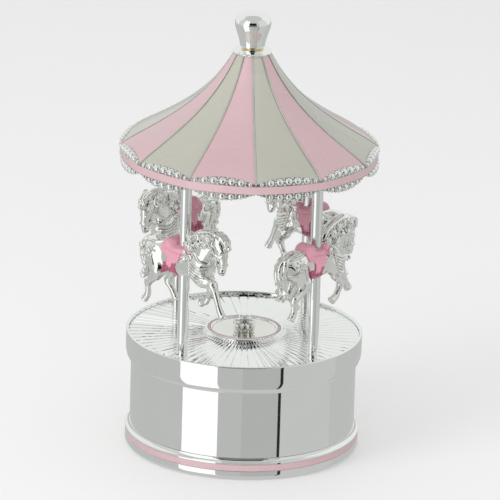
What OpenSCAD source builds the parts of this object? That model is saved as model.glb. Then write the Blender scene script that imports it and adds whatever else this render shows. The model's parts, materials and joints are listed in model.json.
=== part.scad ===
// Carousel music box: a wind-up musical base that turns four horses under a gored tent roof.
// Origin at the centre of the underside, +Z up, millimetres. Angle 0 is the front (-Y).

/* [Base] */
// Outer radius of the base drum
drum_r = 50.2; // [48:0.1:51]
// Outer radius of the foot moulding
foot_r = 52.2; // [51.8:0.1:54]
// Height of the top face of the drum deck
deck_top = 47.9; // [47.5:0.1:48.5]

/* [Turntable] */
// Outer radius of the turntable cap
cap_r = 52.6; // [52.4:0.1:54]
// Height of the lower edge of the cap's skirt
skirt_bottom = 40.3; // [38:0.1:43]
// Height of the floor that the posts stand on
floor_top = 51.6; // [51.4:0.1:52]
// Height of the raised rim round the floor
rim_top = 53.1; // [52.8:0.1:54]
// Outer radius of the raised ring in the middle of the floor
medallion_r = 17.7; // [17:0.1:19]

/* [Posts and horses] */
// Radius of the circle that the posts stand on
post_circle_r = 40.8; // [39:0.1:42]
// Radius of a post
post_r = 2.5; // [2.2:0.1:2.8]
// Number of posts, each with a horse
post_count = 4; // [4:1:4]
// Height of the middle of a horse's body
horse_z = 93.6; // [88:0.1:98]

/* [Roof] */
// Number of gores in the roof
gore_count = 12; // [12:2:16]
// Radius of the roof at its rim
roof_r = 57.3; // [57:0.1:58]
// Height of the roof's rim
roof_rim_z = 138.7; // [137:0.1:140]
// Lowest point of the hanging scallops
scallop_bottom = 131.2; // [130.5:0.1:133]
// Height of the whole object
total_h = 200.3; // [198:0.1:202]

/* [Movement] */
// Height of the tune cylinder's axis
cylinder_z = 25.5; // [25.5:0.1:25.5]
// Radius of the tune cylinder
cylinder_r = 6.5; // [6:0.1:6.5]
// Teeth of the crown wheel on the spring barrel
crown_teeth = 48; // [48:1:48]
// Teeth of the pinion on the tune cylinder's shaft
pinion_teeth = 12; // [12:1:12]
// Teeth of the wheel on the far end of the tune cylinder
drive_teeth = 40; // [40:1:40]
// Teeth of the governor's pinion
governor_teeth = 10; // [10:1:10]
// Teeth of the worm wheel
worm_wheel_teeth = 24; // [24:1:24]
// Number of teeth on the comb
comb_teeth = 18; // [12:1:18]

/* [Hidden] */
$fn = 96;

gap = 0.05;              // clearance between pieces of one body that nest
wall = 1;                // sheet thickness of the drum, cap and plates
silver = [0.82, 0.83, 0.83];
pearl = [0.78, 0.78, 0.71];
pink = [0.88, 0.68, 0.72];
brass = [0.78, 0.66, 0.36];
steel = [0.62, 0.63, 0.65];
zinc = [0.55, 0.56, 0.57];
cream_felt = [0.85, 0.82, 0.76];
nylon = [0.93, 0.92, 0.88];

// base levels
felt_t = 1.2;
foot_bottom = 0.3;
foot_top = 9.8;
enamel_low = 4.3;
enamel_high = 7.4;
ledge_bottom = 14.2;
ledge_top = 15.4;
plate_bottom = ledge_bottom - 1.2;
ledge_r = 44.3;
spigot_r = drum_r - wall - 0.1;
drum_bottom = foot_top + gap;
deck_bottom = deck_top - wall;
plate_screw_r = 46.1;
plate_screw_angles = [90, 210, 330];

// movement levels
bed_bottom = 16.4;
bed_top = 18.6;
arbor_r = 2;
barrel_r = 11;
barrel_flange_r = 14;
barrel_flange_bottom = 20;
barrel_flange_top = 21.6;
barrel_top = 31.6;
crown_pitch_r = 13;
pinion_pitch_r = crown_pitch_r * pinion_teeth / crown_teeth;
crown_module = 2 * pinion_pitch_r / pinion_teeth;
crown_pitch_z = cylinder_z - pinion_pitch_r - gap;
drive_module = 0.3;
drive_r = drive_module * drive_teeth / 2;
governor_r = drive_module * governor_teeth / 2;
governor_y = drive_r + governor_r + gap;
worm_wheel_r = drive_module * worm_wheel_teeth / 2;
worm_r = 1.6;
worm_x = 37.1;
worm_y = governor_y + worm_wheel_r + worm_r + gap;
cylinder_x0 = 16;
cylinder_len = 16;
comb_pitch = 0.85;
comb_y = cylinder_r + 0.8;
comb_tooth_len = 8.5;
comb_x0 = cylinder_x0 + (cylinder_len - comb_teeth * comb_pitch) / 2;
comb_len = comb_teeth * comb_pitch;
comb_screw_x = [comb_x0 + 3, comb_x0 + comb_len - 3];
comb_screw_y = -(comb_y + comb_tooth_len + 3.2);
shaft_r = 0.8;
fine_shaft_r = 0.6;

// turntable levels
web_top = floor_top - wall;
web_bottom = web_top - wall;
hub_bottom = web_bottom - wall;
lip_r = drum_r + 0.3;
stud_r = 2;
spindle_r = 2.5;
dish_floor = floor_top + 0.8;
rosette_top = dish_floor + 5.2;
petal_reach = 3.4;
petal_r = 2.5;

// roof levels
ceiling_bottom = 136.6;
ceiling_top = 137.8;
band_bottom = 134.4;
band_top = roof_rim_z - 0.7;
roof_t = 0.8;
enamel_t = 0.6;
rib_w = 1.2;
rib_h = 0.35;
gore_deg = 360 / gore_count;
arch_top_r = 54.6;
half_chord = roof_r * sin(gore_deg / 2);
arch_rise = roof_r * cos(gore_deg / 2) - arch_top_r;
arch_rad = (half_chord * half_chord + arch_rise * arch_rise) / (2 * arch_rise);
lobe_rise = band_bottom - scallop_bottom;
lobe_rad = (half_chord * half_chord + lobe_rise * lobe_rise) / (2 * lobe_rise);
roof_hole_r = 8;
finial_bottom = 183.5;
tie_r = 1.5;
post_stud_r = 1.25;

// height of the roof's outer surface at radius r: a flared tent that turns down at its rim
function tent(r) = 168.2 - 0.5 * r + 33 * exp(-r / 13.5);
function roof_z(r) = roof_rim_z
    + (tent(r) - tent(roof_r) + 1.3) * sqrt(max(0, 1 - pow(r / roof_r, 24)));

// involute gear tooth: half angle at radius r, in degrees
function inv_deg(a) = tan(a) * 180 / PI - a;
function half_tooth(r, rp, n, play) =
    let (rb = rp * cos(20), a = r > rb ? acos(rb / r) : 0)
    90 / n - play / 2 / rp * 180 / PI + inv_deg(20) - inv_deg(a);

// outline of a spur gear, with play taken off each tooth's thickness
module gear_outline(n, m, play = 0.08, add = 0.85, ded = 1.2) {
    rp = n * m / 2;
    radii = [rp - ded * m, max(rp - ded * m + 0.01, rp * cos(20)), rp, rp + add * m];
    polygon([for (i = [0 : n - 1]) each concat(
        [for (r = radii) let (t = 360 * i / n - half_tooth(r, rp, n, play)) r * [cos(t), sin(t)]],
        [for (k = [3 : -1 : 0]) let (t = 360 * i / n + half_tooth(radii[k], rp, n, play))
            radii[k] * [cos(t), sin(t)]])]);
}

// turns a flat outline's axis onto +X: its x becomes Y and its y becomes Z
module along_x(x, y = 0, z = 0) {
    translate([x, y, z]) rotate([90, 0, 90]) children();
}

module ring(r_out, r_in, z0, z1) {
    translate([0, 0, z0]) difference() {
        cylinder(r = r_out, h = z1 - z0);
        translate([0, 0, -1]) cylinder(r = r_in, h = z1 - z0 + 2);
    }
}

module disc(r, z0, z1) {
    translate([0, 0, z0]) cylinder(r = r, h = z1 - z0);
}

module drill(x, y, r, z0, z1) {
    translate([x, y, z0 - 1]) cylinder(r = r, h = z1 - z0 + 2, $fn = 32);
}

// pan head screw, head downwards at z0, shank up to z1
module screw_up(x, y, r, head_r, head_h, z0, z1) {
    translate([x, y, z0 - head_h]) difference() {
        union() {
            cylinder(r = head_r, h = head_h, $fn = 32);
            cylinder(r = r, h = z1 - z0 + head_h, $fn = 32);
        }
        translate([-head_r - 1, -0.25, -1]) cube([2 * head_r + 2, 0.5, 1.4]);
    }
}

module at_posts(i) {
    rotate([0, 0, 45 + 90 * (i - 1) - 90]) translate([post_circle_r, 0, 0]) children();
}

// ---------- base ----------
module felt_ring() {
    color(cream_felt) ring(49 - gap, 44 + gap, 0, felt_t);
}

module foot_ring() {
    color(silver) difference() {
        foot_moulding();
        for (a = plate_screw_angles)
            drill(plate_screw_r * cos(a), plate_screw_r * sin(a), 1.2 + gap, ledge_bottom, ledge_top);
    }
}

module foot_moulding() {
    rotate_extrude() polygon(concat(
        [[43, foot_bottom], [44, foot_bottom], [44, felt_t], [49, felt_t]],
        [[49, foot_bottom], [50, foot_bottom]],
        [for (a = [15 : 15 : 90]) [50, 2.5] + 2.2 * [sin(a), -cos(a)]],
        [[foot_r, enamel_low], [foot_r - 0.9, enamel_low], [foot_r - 0.9, enamel_high], [foot_r, enamel_high],
         [foot_r, 8.1]],
        [for (a = [0 : 15 : 90]) [foot_r, foot_top] - 1.7 * [sin(a), cos(a)]],
        [[spigot_r, foot_top], [spigot_r, ledge_top], [ledge_r, ledge_top], [ledge_r, ledge_bottom],
         [spigot_r - 1.2, ledge_bottom], [spigot_r - 1.2, 2.5], [43, 2.5]]));
}

module foot_enamel() {
    color(pink) ring(foot_r - 0.1, foot_r - 0.9 + gap, enamel_low + gap, enamel_high - gap);
}

module base_drum() {
    color(silver) ring(drum_r, drum_r - wall, drum_bottom, deck_bottom);
}

module drum_deck() {
    color(silver) difference() {
        union() {
            disc(drum_r, deck_bottom, deck_top);
            ring(drum_r - wall - gap, drum_r - 2 * wall, deck_bottom - 3, deck_bottom);
        }
        drill(0, 0, 4.5 + gap, deck_bottom, deck_top);
    }
}

module spindle_bush() {
    color(brass) difference() {
        union() {
            disc(4.5, deck_bottom - 1.4, deck_top);
            disc(6.5, deck_bottom - 1.4, deck_bottom);
        }
        drill(0, 0, spindle_r + gap, deck_bottom - 2, deck_top + 1);
    }
}

module thrust_washer() {
    color(nylon) ring(7.5, spindle_r + 0.2, deck_top, hub_bottom - gap);
}

module bottom_plate() {
    color(zinc) difference() {
        disc(spigot_r - 1.4, plate_bottom, ledge_bottom);
        drill(0, 0, 3.2, plate_bottom, ledge_bottom);
        for (a = plate_screw_angles)
            drill(plate_screw_r * cos(a), plate_screw_r * sin(a), 1.2 + gap, plate_bottom, ledge_bottom);
        for (p = movement_feet)
            drill(p[0], p[1], 1.55, plate_bottom, ledge_bottom);
        for (a = [0 : 30 : 330])
            drill(30 * cos(a + 15) - 2, 30 * sin(a + 15), 1.8, plate_bottom, ledge_bottom);
    }
}

module plate_screws() {
    color(steel) for (a = plate_screw_angles)
        screw_up(plate_screw_r * cos(a), plate_screw_r * sin(a), 1.2, 1.5, 1, plate_bottom, ledge_top - 0.2);
}

// ---------- musical movement ----------
movement_feet = [[-10, -12], [-10, 12], [38, -8]];

module movement_screws() {
    color(steel) for (p = movement_feet)
        screw_up(p[0], p[1], 1.5, 2.4, 1.2, plate_bottom, bed_top - 0.4);
}

module bedplate() {
    color(zinc) difference() {
        union() {
            intersection() {
                disc(42.5, bed_bottom, bed_top);
                translate([-15, -23, bed_bottom]) cube([57, 40, bed_top - bed_bottom]);
            }
            for (p = movement_feet)
                translate([p[0], p[1], ledge_bottom])
                    cylinder(r = 3, h = bed_bottom - ledge_bottom, $fn = 32);
        }
        drill(0, 0, arbor_r + gap, bed_bottom, bed_top);
        translate([cylinder_x0 - 0.4, -4, bed_bottom - 1]) cube([cylinder_len + 0.8, 8, 5]);
        for (p = movement_feet)
            drill(p[0], p[1], 1.5 + gap, ledge_bottom, bed_top - 1.2);
    }
}

module bracket_blank(x, t, y0, y1, z1) {
    translate([x, y0, bed_top]) cube([t, y1 - y0, z1 - bed_top]);
}

module inner_bracket() {
    color(zinc) difference() {
        union() {
            bracket_blank(14.3, 1.2, -4, 4, cylinder_z + 3);
            bracket_blank(14.3, 1.2, 4, 10, bed_top + 1.2);
            translate([14.3, 5.7, bed_top]) cube([5, 4.3, 1.2]);
        }
        along_x(13, 0, cylinder_z) cylinder(r = shaft_r + gap, h = 4, $fn = 32);
    }
}

module outer_bracket() {
    color(zinc) difference() {
        union() {
            bracket_blank(34.6, 1.4, -4, worm_y + 2.2, cylinder_z + 4.3);
            for (z = [bed_top + 0.9, cylinder_z + 3.1])
                translate([34.6, worm_y - 2.2, z]) cube([4.7, 4.4, 1.2]);
            translate([36, -4, bed_top]) cube([3, 5, 1.2]);
        }
        along_x(34, 0, cylinder_z) cylinder(r = shaft_r + gap, h = 3, $fn = 32);
        along_x(34, governor_y, cylinder_z) cylinder(r = fine_shaft_r + gap, h = 3, $fn = 32);
        along_x(34, worm_y, cylinder_z) cylinder(r = 2.8, h = 4, $fn = 48);
        drill(worm_x, worm_y, fine_shaft_r + gap, bed_top, cylinder_z + 5);
    }
}

module bracket_screws() {
    color(steel) {
        translate([17.4, 7.9, bed_top + 1.2]) cylinder(r = 1.4, h = 0.9, $fn = 32);
        translate([37.6, -1.6, bed_top + 1.2]) cylinder(r = 1.2, h = 0.9, $fn = 32);
    }
}

// steel comb: the teeth reach towards the cylinder, and shorten from the bass to the treble end
module comb() {
    tip = -(comb_y + 0.05);
    root = -(comb_y + comb_tooth_len);
    back = root - 6;
    slit = 0.16;
    color(steel) difference() {
        translate([comb_x0, 0, cylinder_z - 0.5]) linear_extrude(1) polygon(concat(
            [[0, back], [0, tip]],
            [for (i = [1 : comb_teeth - 1]) let (x = i * comb_pitch, depth = root + 2.5 * i / comb_teeth)
                each [[x - slit / 2, tip], [x - slit / 2, depth],
                    [x + slit / 2, depth], [x + slit / 2, tip]]],
            [[comb_len, tip], [comb_len, back]]));
        for (x = comb_screw_x)
            drill(x, comb_screw_y, 1.05, cylinder_z - 1, cylinder_z + 1);
    }
}

module comb_block() {
    y0 = -(comb_y + comb_tooth_len + 6);
    color(zinc) difference() {
        translate([comb_x0, y0, bed_top]) cube([comb_len, 5.8, cylinder_z - 0.5 - bed_top]);
        for (x = comb_screw_x)
            drill(x, comb_screw_y, 1.05, cylinder_z - 4.5, cylinder_z);
    }
}

module comb_screws() {
    color(brass) for (x = comb_screw_x)
        translate([x, comb_screw_y, 0]) {
            translate([0, 0, cylinder_z - 4]) cylinder(r = 1, h = 4.6, $fn = 32);
            translate([0, 0, cylinder_z + 0.5]) cylinder(r = 1.9, h = 1, $fn = 32);
        }
}

module winding_arbor() {
    color(steel) difference() {
        union() {
            disc(arbor_r, 8.4, barrel_top + 1.4);
            disc(2.8, bed_top + 0.1, barrel_flange_bottom - 0.1);
        }
        translate([0, 0, 7.4]) cylinder(r = 0.6, h = 3, $fn = 24);
    }
}

// two-winged key with finger holes, screwed on the arbor's lower end
module winding_key() {
    color(steel) difference() {
        union() {
            disc(3.1, 6.5, 12.2);
            for (s = [-1, 1]) translate([s * 5.6, 0.8, 5.6]) rotate([90, 0, 0])
                cylinder(r = 4.1, h = 1.6, $fn = 48);
            translate([-5, -0.8, 3.2]) cube([10, 1.6, 5.2]);
        }
        for (s = [-1, 1]) translate([s * 6.2, 2, 5.6]) rotate([90, 0, 0]) cylinder(r = 1.8, h = 4, $fn = 32);
        translate([0, 0, 8.4 - gap]) cylinder(r = arbor_r + gap, h = 6, $fn = 48);
    }
}

// closely wound clutch spring that grips the arbor between the bottom plate and the bedplate
module clutch_spring() {
    wire_r = 0.3;
    color(steel) for (i = [0 : 2])
        translate([0, 0, ledge_bottom + 0.35 + i * (2 * wire_r + 0.02)])
            rotate_extrude() translate([arbor_r + wire_r + gap, 0]) circle(r = wire_r, $fn = 16);
}

// the crown wheel's teeth are straight-sided like a rack's
module crown_tooth() {
    half = crown_module * PI / 4 - 0.13;
    up = crown_module * 0.85;
    down = crown_module * 1.25;
    rotate([90, 0, 90]) linear_extrude(1.8) polygon([
        [-half - down * tan(20), -down], [half + down * tan(20), -down],
        [half - up * tan(20), up], [-half + up * tan(20), up]]);
}

module spring_barrel() {
    color(brass) difference() {
        union() {
            disc(barrel_flange_r, barrel_flange_bottom, barrel_flange_top);
            ring(barrel_r, barrel_r - 0.8, barrel_flange_top - 0.1, barrel_top);
            for (i = [0 : crown_teeth - 1])
                rotate([0, 0, 360 * i / crown_teeth]) translate([12.1, 0, crown_pitch_z]) crown_tooth();
        }
        drill(0, 0, arbor_r + gap, barrel_flange_bottom, barrel_flange_top);
    }
}

module barrel_cap() {
    color(brass) difference() {
        union() {
            disc(barrel_r, barrel_top, barrel_top + 1.2);
            disc(barrel_r - 0.8 - gap, barrel_top - 0.8, barrel_top);
        }
        drill(0, 0, spindle_r + 0.5 + gap, barrel_top - 1, barrel_top + 1.2);
    }
}

// flat spiral mainspring, its outer end at the barrel wall
module mainspring() {
    turns = 6;
    steps = 20;
    r0 = 3.2;
    pitch = 1.08;
    half_t = 0.14;
    function coil(i, side) = let (a = 360 * i / steps, r = r0 + pitch * i / steps + side * half_t)
        r * [cos(a), sin(a)];
    color(steel) translate([0, 0, barrel_flange_top + 0.6]) linear_extrude(7.8) polygon(concat(
        [for (i = [0 : turns * steps]) coil(i, 1)],
        [for (i = [turns * steps : -1 : 0]) coil(i, -1)]));
}

module output_spindle() {
    color(steel) difference() {
        union() {
            disc(spindle_r + 0.5, barrel_top, barrel_top + 1.2);
            disc(6, barrel_top + 1.2, barrel_top + 2.4);
            disc(spindle_r, barrel_top, hub_bottom);
            disc(stud_r, barrel_top, rosette_top + 1);
        }
        translate([0, 0, barrel_top - 1]) cylinder(r = arbor_r + gap, h = 2.6, $fn = 48);
    }
}

// tune cylinder: a thin brass tube set with pins, one row of them under each comb tooth
module cylinder_tube() {
    pin_r = 0.18;
    pins_per_row = 5;
    color(brass) along_x(cylinder_x0, 0, cylinder_z) {
        difference() {
            cylinder(r = cylinder_r, h = cylinder_len);
            translate([0, 0, -1]) cylinder(r = cylinder_r - 0.6, h = cylinder_len + 2);
        }
        for (i = [0 : comb_teeth - 1], k = [0 : pins_per_row - 1])
            rotate([0, 0, 17 + 137.5 * i + (360 / pins_per_row) * k + 23 * sin(97 * i + 61 * k)])
                translate([cylinder_r - 0.3, 0, comb_x0 - cylinder_x0 + (i + 0.5) * comb_pitch])
                    rotate([0, 90, 0]) cylinder(r = pin_r, h = 0.95, $fn = 16);
    }
}

module cylinder_ends() {
    color(brass) for (x = [0, cylinder_len - 1])
        along_x(cylinder_x0 + x, 0, cylinder_z) difference() {
            cylinder(r = cylinder_r - 0.6 - gap, h = 1);
            translate([0, 0, -1]) cylinder(r = shaft_r + gap, h = 3, $fn = 32);
        }
}

module cylinder_shaft() {
    color(steel) along_x(11.6, 0, cylinder_z) cylinder(r = shaft_r, h = 25, $fn = 48);
}

module gear_on_x(x, y, n, m, t, bore, turn) {
    along_x(x, y, cylinder_z) difference() {
        rotate([0, 0, turn]) linear_extrude(t) gear_outline(n, m);
        translate([0, 0, -1]) cylinder(r = bore + gap, h = t + 2, $fn = 32);
    }
}

module cylinder_pinion() {
    color(brass) gear_on_x(12.3, 0, pinion_teeth, crown_module, 1.4, shaft_r, 180 / pinion_teeth);
}

module cylinder_wheel() {
    color(brass) gear_on_x(32.6, 0, drive_teeth, drive_module, 1.2, shaft_r, 0);
}

module governor_shaft() {
    color(steel) along_x(32.3, governor_y, cylinder_z) cylinder(r = fine_shaft_r, h = 5.8, $fn = 32);
}

module governor_pinion() {
    color(brass)
        gear_on_x(32.5, governor_y, governor_teeth, drive_module, 1.4, fine_shaft_r, 180 / governor_teeth);
}

module worm_wheel() {
    color(nylon) gear_on_x(worm_x - 0.4, governor_y, worm_wheel_teeth, drive_module, 0.8, fine_shaft_r, 0);
}

// single-start worm: a trapezoidal thread swept along a helix, round a shaft that carries the air brake
module worm() {
    pitch = PI * drive_module;
    turns = 4;
    steps = 20;
    last = turns * steps;
    up = drive_module * 0.85;
    down = drive_module * 1.1;
    tip = pitch / 4 - up * tan(20) - 0.05;
    root = pitch / 4 + down * tan(20) - 0.05;
    section = [[worm_r - down, -root], [worm_r + up, -tip], [worm_r + up, tip], [worm_r - down, root]];
    ridge = [for (i = [0 : last], q = section)
        let (a = 360 * i / steps + 90, z = pitch * (i / steps - turns / 2) + q[1])
        [q[0] * cos(a), q[0] * sin(a), z]];
    sides = [for (i = [0 : last - 1], k = [0 : 3])
        [4 * i + k, 4 * i + (k + 1) % 4, 4 * (i + 1) + (k + 1) % 4, 4 * (i + 1) + k]];
    color(steel) translate([worm_x, worm_y, 0]) union() {
        translate([0, 0, cylinder_z])
            polyhedron(ridge, concat([[3, 2, 1, 0]], sides, [[for (k = [0 : 3]) 4 * last + k]]));
        translate([0, 0, cylinder_z - 2.6]) cylinder(r = worm_r - down + 0.08, h = 5.2, $fn = 32);
        translate([0, 0, bed_top + 0.3]) cylinder(r = fine_shaft_r, h = 16.6, $fn = 32);
    }
}

module air_brake() {
    z0 = cylinder_z + 5;
    color(brass) translate([worm_x, worm_y, z0]) difference() {
        union() {
            cylinder(r = 1.3, h = 4.4, $fn = 32);
            translate([-4.4, -0.2, 0.2]) cube([8.8, 0.4, 4]);
        }
        translate([0, 0, -1]) cylinder(r = fine_shaft_r + gap, h = 7, $fn = 32);
    }
}

// ---------- turntable ----------
module turntable_cap() {
    color(silver) difference() {
        rotate_extrude() polygon([
            [stud_r + gap, web_bottom], [cap_r - wall, web_bottom], [cap_r - wall, skirt_bottom + 4.6],
            [cap_r - wall - 0.3, skirt_bottom + 2.6], [lip_r, skirt_bottom + 1.1], [lip_r, skirt_bottom],
            [lip_r + 0.5, skirt_bottom], [cap_r - 1, skirt_bottom + 0.7], [cap_r - 0.45, skirt_bottom + 1.8],
            [cap_r - 0.12, skirt_bottom + 3.1], [cap_r, skirt_bottom + 4.6],
            [cap_r, rim_top - 0.5], [cap_r - 0.2, rim_top - 0.1], [cap_r - 0.6, rim_top],
            [cap_r - 1, rim_top - 0.1], [cap_r - 1.2, rim_top - 0.5], [cap_r - 1.2, web_top],
            [stud_r + gap, web_top]]);
        for (i = [1 : post_count]) at_posts(i) drill(0, 0, post_stud_r + gap, web_bottom, web_top);
    }
}

module turntable_hub() {
    color(brass) ring(8, stud_r + gap, hub_bottom, web_bottom);
}

module floor_plate() {
    color(silver) difference() {
        disc(cap_r - 1.2 - gap, web_top, floor_top);
        drill(0, 0, stud_r + gap, web_top, floor_top);
        for (i = [1 : post_count]) at_posts(i) drill(0, 0, post_stud_r + gap, web_top, floor_top);
    }
}

module medallion_ring() {
    h = 2.3;
    color(silver) translate([0, 0, floor_top]) rotate_extrude() polygon([
        [medallion_r - 3.5, 0], [medallion_r, 0], [medallion_r, h - 0.6], [medallion_r - 0.2, h - 0.2],
        [medallion_r - 0.6, h], [medallion_r - 1.3, h],
        [medallion_r - 1.3, h - 0.5], [medallion_r - 2.7, h - 0.5],
        [medallion_r - 2.7, h], [medallion_r - 3.1, h], [medallion_r - 3.5, h - 0.4]]);
}

module medallion_enamel() {
    color(pink) ring(medallion_r - 1.3 - gap, medallion_r - 2.7 + gap, floor_top + 1.8, floor_top + 2.22);
}

module medallion_dish() {
    edge = medallion_r - 3.5 - gap;
    color(silver) rotate_extrude() polygon(concat(
        [[stud_r + gap, floor_top], [edge, floor_top], [edge, floor_top + 1.7]],
        [for (a = [75 : -15 : 0]) [6.5 + (edge - 6.5) * sin(a), dish_floor + 0.9 * (1 - cos(a))]],
        [[stud_r + gap, dish_floor]]));
}

// four-petalled rosette clamped by a domed nut on the end of the spindle
module rosette() {
    color(silver) difference() {
        union() {
            disc(3.4, dish_floor, rosette_top);
            for (a = [45 : 90 : 315])
                rotate([0, 0, a]) translate([petal_reach, 0, dish_floor]) {
                    cylinder(r = petal_r, h = 3.8, $fn = 48);
                    translate([-petal_reach, -1.5, 0]) cube([petal_reach, 3, 3.6]);
                }
        }
        drill(0, 0, stud_r + gap, dish_floor, rosette_top);
    }
}

module rosette_cap_nut() {
    color(silver) difference() {
        translate([0, 0, rosette_top]) intersection() {
            cylinder(r = 2.8, h = 2.4);
            translate([0, 0, -1.6]) sphere(r = 4, $fn = 64);
        }
        translate([0, 0, rosette_top - 1]) cylinder(r = stud_r + gap, h = 2.1, $fn = 48);
    }
}

// ---------- posts and horses ----------
module post(i) {
    color(silver) at_posts(i) {
        disc(post_stud_r, web_bottom - 1.35, ceiling_top + 2);
        disc(post_r, floor_top, ceiling_bottom);
    }
}

module post_nuts() {
    nut_t = 1.35;
    color(brass) for (i = [1 : post_count], z = [web_bottom - nut_t, ceiling_top]) at_posts(i) difference() {
        disc(2.4, z, z + nut_t);
        drill(0, 0, post_stud_r + gap, z, z + nut_t);
    }
}

// round-ended limb from one [x, y, z] with a radius to another
module limb(a, ra, b, rb) {
    hull() {
        translate(a) sphere(r = ra, $fn = 10);
        translate(b) sphere(r = rb, $fn = 10);
    }
}

// a chain of [x, y, z, radius] points joined by limbs
module chain(points) {
    for (i = [0 : len(points) - 2])
        let (a = points[i], b = points[i + 1])
            limb([a[0], a[1], a[2]], a[3], [b[0], b[1], b[2]], b[3]);
}

// leaping horse that faces +X, its post on the Z axis and the middle of its body at z 0
horse_spine = [[-14.5, 0, 1, 6.4], [-4, 0, -0.6, 5.7], [10, 0, 0, 6.2]];
horse_neck = [[10, 0, 2, 6], [12, 0, 9, 5.6], [19.6, 0, 13.2, 3.8]];
horse_head = [[21.6, 0, 11.4, 3.3], [22.9, 0, 4.4, 2.1], [22.2, 0, 1, 1.8]];
// leading foreleg stretched out and the other one tucked, on either side
function reaching_foreleg(y) = [[12, y, -2.5, 3.2], [20.2, y, -4.9, 1.8], [24.4, y, -14.6, 1.1], [26.2, y, -18, 1.8]];
function tucked_foreleg(y) = [[11, y, -3, 3.2], [13.2, y, -9.8, 1.8], [11.6, y, -16.4, 1.1], [8.6, y, -17.8, 1.7]];
near_hindleg = [[-14, -3.4, -2, 4.2], [-12.2, -3.8, -7, 2.4],
    [-17.4, -3.8, -12, 1.6], [-17.8, -3.8, -17.6, 1.1], [-19.6, -3.8, -19.4, 1.6]];
off_hindleg = [[-13, 3.4, -2, 4.2], [-10, 3.8, -7, 2.4],
    [-13.2, 3.8, -12.4, 1.6], [-8.6, 3.8, -16.6, 1.1], [-6.4, 3.8, -18.6, 1.6]];
horse_tail = [[-19.4, 0, 5.4, 2.2], [-22.4, 0, 1, 2.4], [-21.4, 0, -6, 2], [-22.6, 0, -11, 1.2]];
horse_saddle = [[-5, 0, 6.6, 3], [4, 0, 6.6, 3]];

module horse(i) {
    color(silver) at_posts(i) translate([0, 0, horse_z]) rotate([0, 0, 90]) difference() {
        union() {
            for (part = [horse_spine, horse_neck, horse_head, near_hindleg, off_hindleg,
                         horse_tail, horse_saddle])
                chain(part);
            chain(reaching_foreleg(i % 2 == 0 ? -3.6 : 3.6));
            chain(tucked_foreleg(i % 2 == 0 ? 3.6 : -3.6));
        }
        cylinder(r = post_r + 0.12, h = 40, center = true, $fn = 24);
    }
}

// ---------- roof ----------
module ceiling_plate() {
    color(silver) difference() {
        disc(roof_r - 1.9, ceiling_bottom, ceiling_top);
        drill(0, 0, tie_r + gap, ceiling_bottom, ceiling_top);
        for (i = [1 : post_count]) at_posts(i) drill(0, 0, post_stud_r + gap, ceiling_bottom, ceiling_top);
    }
}

// rod from the ceiling plate to the finial, with a flat head under the plate
module tie_rod() {
    color(steel) {
        disc(tie_r, ceiling_bottom - 0.5, finial_bottom + 8);
        disc(4, ceiling_bottom - 1.5, ceiling_bottom);
    }
}

// the tent's outer surface moved down by sink, from r0 out to r1
function tent_line(sink, r0, r1, steps = 16) =
    [for (i = [0 : steps]) let (t = i / steps, r = r0 + (r1 - r0) * (1 - pow(1 - t, 1.6)))
        [r, roof_z(r) - sink]];

function reversed(list) = [for (i = [len(list) - 1 : -1 : 0]) list[i]];

// upright cylinders that cut one arch per gore out of the roof's edge, inset by grow
module arch_cutters(grow) {
    for (i = [0 : gore_count - 1])
        rotate([0, 0, gore_deg * (i + 0.5)]) translate([arch_top_r + arch_rad, 0, roof_rim_z - 4])
            cylinder(r = arch_rad + grow, h = 16);
}

module seam_strips(width) {
    for (i = [0 : gore_count - 1])
        rotate([0, 0, gore_deg * i]) translate([0, -width / 2, band_bottom])
            cube([roof_r + 4, width, finial_bottom - band_bottom]);
}

// silver tent with a raised rib on each seam and a turned-down edge that the valance hangs on
module roof_shell() {
    color(silver) difference() {
        union() {
            rotate_extrude() polygon(concat(
                tent_line(enamel_t, roof_hole_r, roof_r - enamel_t),
                [[roof_r - enamel_t, band_bottom], [roof_r - enamel_t - 0.8, band_bottom]],
                reversed([for (q = tent_line(enamel_t + roof_t, roof_hole_r, roof_r - enamel_t - 0.8)) q])));
            intersection() {
                rotate_extrude() polygon(concat(
                    tent_line(-rib_h, roof_hole_r, roof_r - enamel_t),
                    reversed(tent_line(enamel_t + 0.2, roof_hole_r, roof_r - enamel_t))));
                seam_strips(rib_w);
            }
        }
        disc(roof_hole_r, finial_bottom - 10, finial_bottom + 1);
    }
}

// enamel laid between the ribs, its lower edge cut in arches
module gores(first) {
    difference() {
        for (i = [first : 2 : gore_count - 1])
            rotate([0, 0, gore_deg * i]) rotate_extrude(angle = gore_deg) polygon(concat(
                tent_line(0, roof_hole_r, roof_r - 1),
                reversed(tent_line(enamel_t - gap, roof_hole_r, roof_r - 1))));
        seam_strips(rib_w + 2 * gap);
        arch_cutters(0);
    }
}

module pink_gores() {
    color(pink) gores(0);
}

module pearl_gores() {
    color(pearl) gores(1);
}

module valance_enamel() {
    color(pink) ring(roof_r, roof_r - enamel_t + gap, band_bottom, band_top - gap);
}

// a profile turned through each gore in turn, stopping clear of the seams on both sides
module per_gore() {
    $fn = 240;
    clear_deg = (rib_w / 2 + gap) / roof_r * 180 / PI + 0.05;
    for (i = [0 : gore_count - 1])
        rotate([0, 0, gore_deg * i + clear_deg]) intersection() {
            rotate_extrude(angle = gore_deg - 2 * clear_deg) children(0);
            rotate([0, 0, gore_deg / 2 - clear_deg]) children(1);
        }
}

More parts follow.
